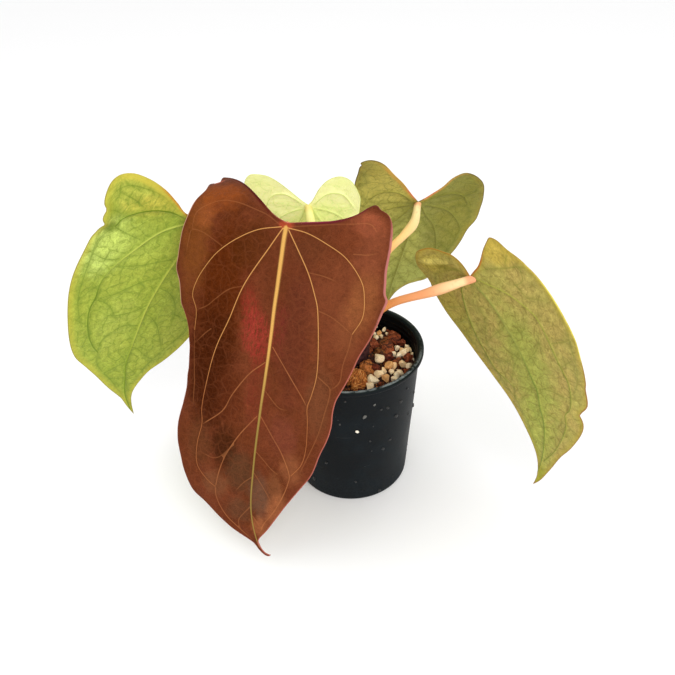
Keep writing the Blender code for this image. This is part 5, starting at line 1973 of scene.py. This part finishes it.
def make_stem(settings):
    """The stem and its sheaths, rounded from the solid's mesh and roughened."""
    solid = frame["nodes"]["stem"]
    thing = bpy.data.objects.new("stem_crown", solid.data.copy())
    bpy.context.scene.collection.objects.link(thing)
    closest = 0.01 * MM
    reshape(thing, lambda shape: bmesh.ops.remove_doubles(shape, verts=shape.verts, dist=closest))
    remesh = thing.modifiers.new("remesh", "REMESH")
    remesh.mode = "VOXEL"
    remesh.voxel_size = settings.voxel
    soften = thing.modifiers.new("soften", "SMOOTH")
    soften.iterations = 4
    keep_modified(thing)
    for vertex in thing.data.vertices:
        x, y, z = vertex.co / MM
        rough = noise.fractal(Vector((x * 0.5, y * 0.5, z * 0.16)), 0.8, 2.0, 4)
        vertex.co += vertex.normal * rough * STEM_ROUGHNESS * MM
    thing.data.materials.clear()
    thing.data.materials.append(finish("stem_skin", stem_skin, 0.3))
    thing.data.shade_smooth()
    join_frame(thing, "stem_skin", "stem")


class StemSettings(bpy.types.PropertyGroup):
    """Fineness of the stem."""

    voxel: FloatProperty(
        name="Voxel", description="Size of the stem's faces", default=0.0007, unit="LENGTH"
    )


class PLANT_OT_stem(bpy.types.Operator):
    """Make the short stem with its sheaths."""

    bl_idname = "plant.stem"
    bl_label = "Stem"

    def execute(self, context):
        make_stem(context.scene.plant_stem)
        return {"FINISHED"}


class StageSettings(bpy.types.PropertyGroup):
    """Camera, light and floor."""

    lens: FloatProperty(name="Lens", description="Focal length in millimetres", default=37.33)
    floor_colour: FloatVectorProperty(
        name="Floor", description="Colour of the floor", subtype="COLOR", default=(0.94, 0.94, 0.94)
    )
    sky: FloatProperty(name="Sky", description="Strength of the even white light", default=1.0)
    key_power: FloatProperty(
        name="Key light", description="Power of the large soft light", default=8.0, unit="POWER"
    )


CAMERA_PLACE = (-7.27, -373.56, 388.55)
CAMERA_DIP = 36.304
CAMERA_ROLL = -2.202
SENSOR_WIDTH = 36.0
FLOOR_SIZE = 12.0
FLOOR_DROP = 0.0002
LIGHT_TARGET = (0.0, 0.0, 0.12)
LIGHT_SIZE = 1.0
KEY_PLACE = (0.25, -1.0, 0.95)
FILL_PLACE = (-0.7, -0.1, 1.1)
FILL_SHARE = 0.25


def make_camera(settings):
    """A camera at the photograph's viewing angle."""
    dip, roll = math.radians(CAMERA_DIP), math.radians(CAMERA_ROLL)
    ahead = Vector((0, math.cos(dip), -math.sin(dip)))
    right = Vector((1, 0, 0))
    up = right.cross(ahead)
    right, up = (
        right * math.cos(roll) + up * math.sin(roll),
        up * math.cos(roll) - right * math.sin(roll),
    )
    data = bpy.data.cameras.new("camera")
    data.lens = settings.lens
    data.sensor_width = SENSOR_WIDTH
    camera = bpy.data.objects.new("camera", data)
    place = Matrix((right, up, -ahead)).transposed().to_4x4()
    place.translation = Vector(CAMERA_PLACE) * MM
    camera.matrix_world = place
    bpy.context.scene.collection.objects.link(camera)
    bpy.context.scene.camera = camera


def make_light(name, place, power):
    """A round soft light that faces the plant."""
    data = bpy.data.lights.new(name, "AREA")
    data.shape = "DISK"
    data.size = LIGHT_SIZE
    data.energy = power
    lamp = bpy.data.objects.new(name, data)
    lamp.location = place
    ahead = Vector(LIGHT_TARGET) - Vector(place)
    lamp.rotation_euler = ahead.to_track_quat("-Z", "Y").to_euler()
    bpy.context.scene.collection.objects.link(lamp)


class PLANT_OT_stage(bpy.types.Operator):
    """Make the floor, the soft light and the camera."""

    bl_idname = "plant.stage"
    bl_label = "Stage"

    def execute(self, context):
        settings = context.scene.plant_stage
        half = FLOOR_SIZE / 2 / MM
        drop = -FLOOR_DROP / MM
        corners = [(-half, -half, drop), (half, -half, drop), (half, half, drop), (-half, half, drop)]

        def paper(tree):
            return (*settings.floor_colour, 1.0), 0.9, None

        floor = new_object("floor", corners, [(0, 1, 2, 3)], [finish("paper", paper)])
        floor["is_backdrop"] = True
        world = bpy.data.worlds.new("studio")
        world.use_nodes = True
        background = world.node_tree.nodes["Background"]
        background.inputs["Color"].default_value = (1.0, 1.0, 1.0, 1.0)
        background.inputs["Strength"].default_value = settings.sky
        context.scene.world = world
        make_light("key", KEY_PLACE, settings.key_power)
        make_light("fill", FILL_PLACE, settings.key_power * FILL_SHARE)
        context.scene.view_settings.view_transform = "Standard"
        make_camera(settings)
        return {"FINISHED"}


class PLANT_PT_panel(bpy.types.Panel):
    """The plant's parts, in the order they are made."""

    bl_idname = "PLANT_PT_panel"
    bl_label = "Anthurium"
    bl_space_type = "VIEW_3D"
    bl_region_type = "UI"
    bl_category = "Anthurium"

    def draw(self, context):
        for operator in OPERATORS:
            self.layout.operator(operator.bl_idname)


OPERATORS = (
    PLANT_OT_pot,
    PLANT_OT_mix,
    PLANT_OT_stem,
    PLANT_OT_stalks,
    PLANT_OT_blades,
    PLANT_OT_stage,
)
SETTINGS = {
    "plant_pot": PotSettings,
    "plant_mix": MixSettings,
    "plant_stem": StemSettings,
    "plant_stalks": StalkSettings,
    "plant_blades": BladeSettings,
    "plant_stage": StageSettings,
}
CLASSES = (*SETTINGS.values(), *OPERATORS, PLANT_PT_panel)


def register():
    """Make the settings and operators known to Blender."""
    for one in CLASSES:
        bpy.utils.register_class(one)
    for name, group in SETTINGS.items():
        setattr(bpy.types.Scene, name, PointerProperty(type=group))


def unregister():
    """Take the settings and operators back out."""
    for name in SETTINGS:
        delattr(bpy.types.Scene, name)
    for one in reversed(CLASSES):
        bpy.utils.unregister_class(one)


def main():
    """Build the plant."""
    register()
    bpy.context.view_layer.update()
    bpy.ops.plant.pot()
    bpy.ops.plant.mix()
    bpy.ops.plant.stem()
    bpy.ops.plant.stalks()
    bpy.ops.plant.blades()
    bpy.ops.plant.stage()


if __name__ == "__main__":
    main()
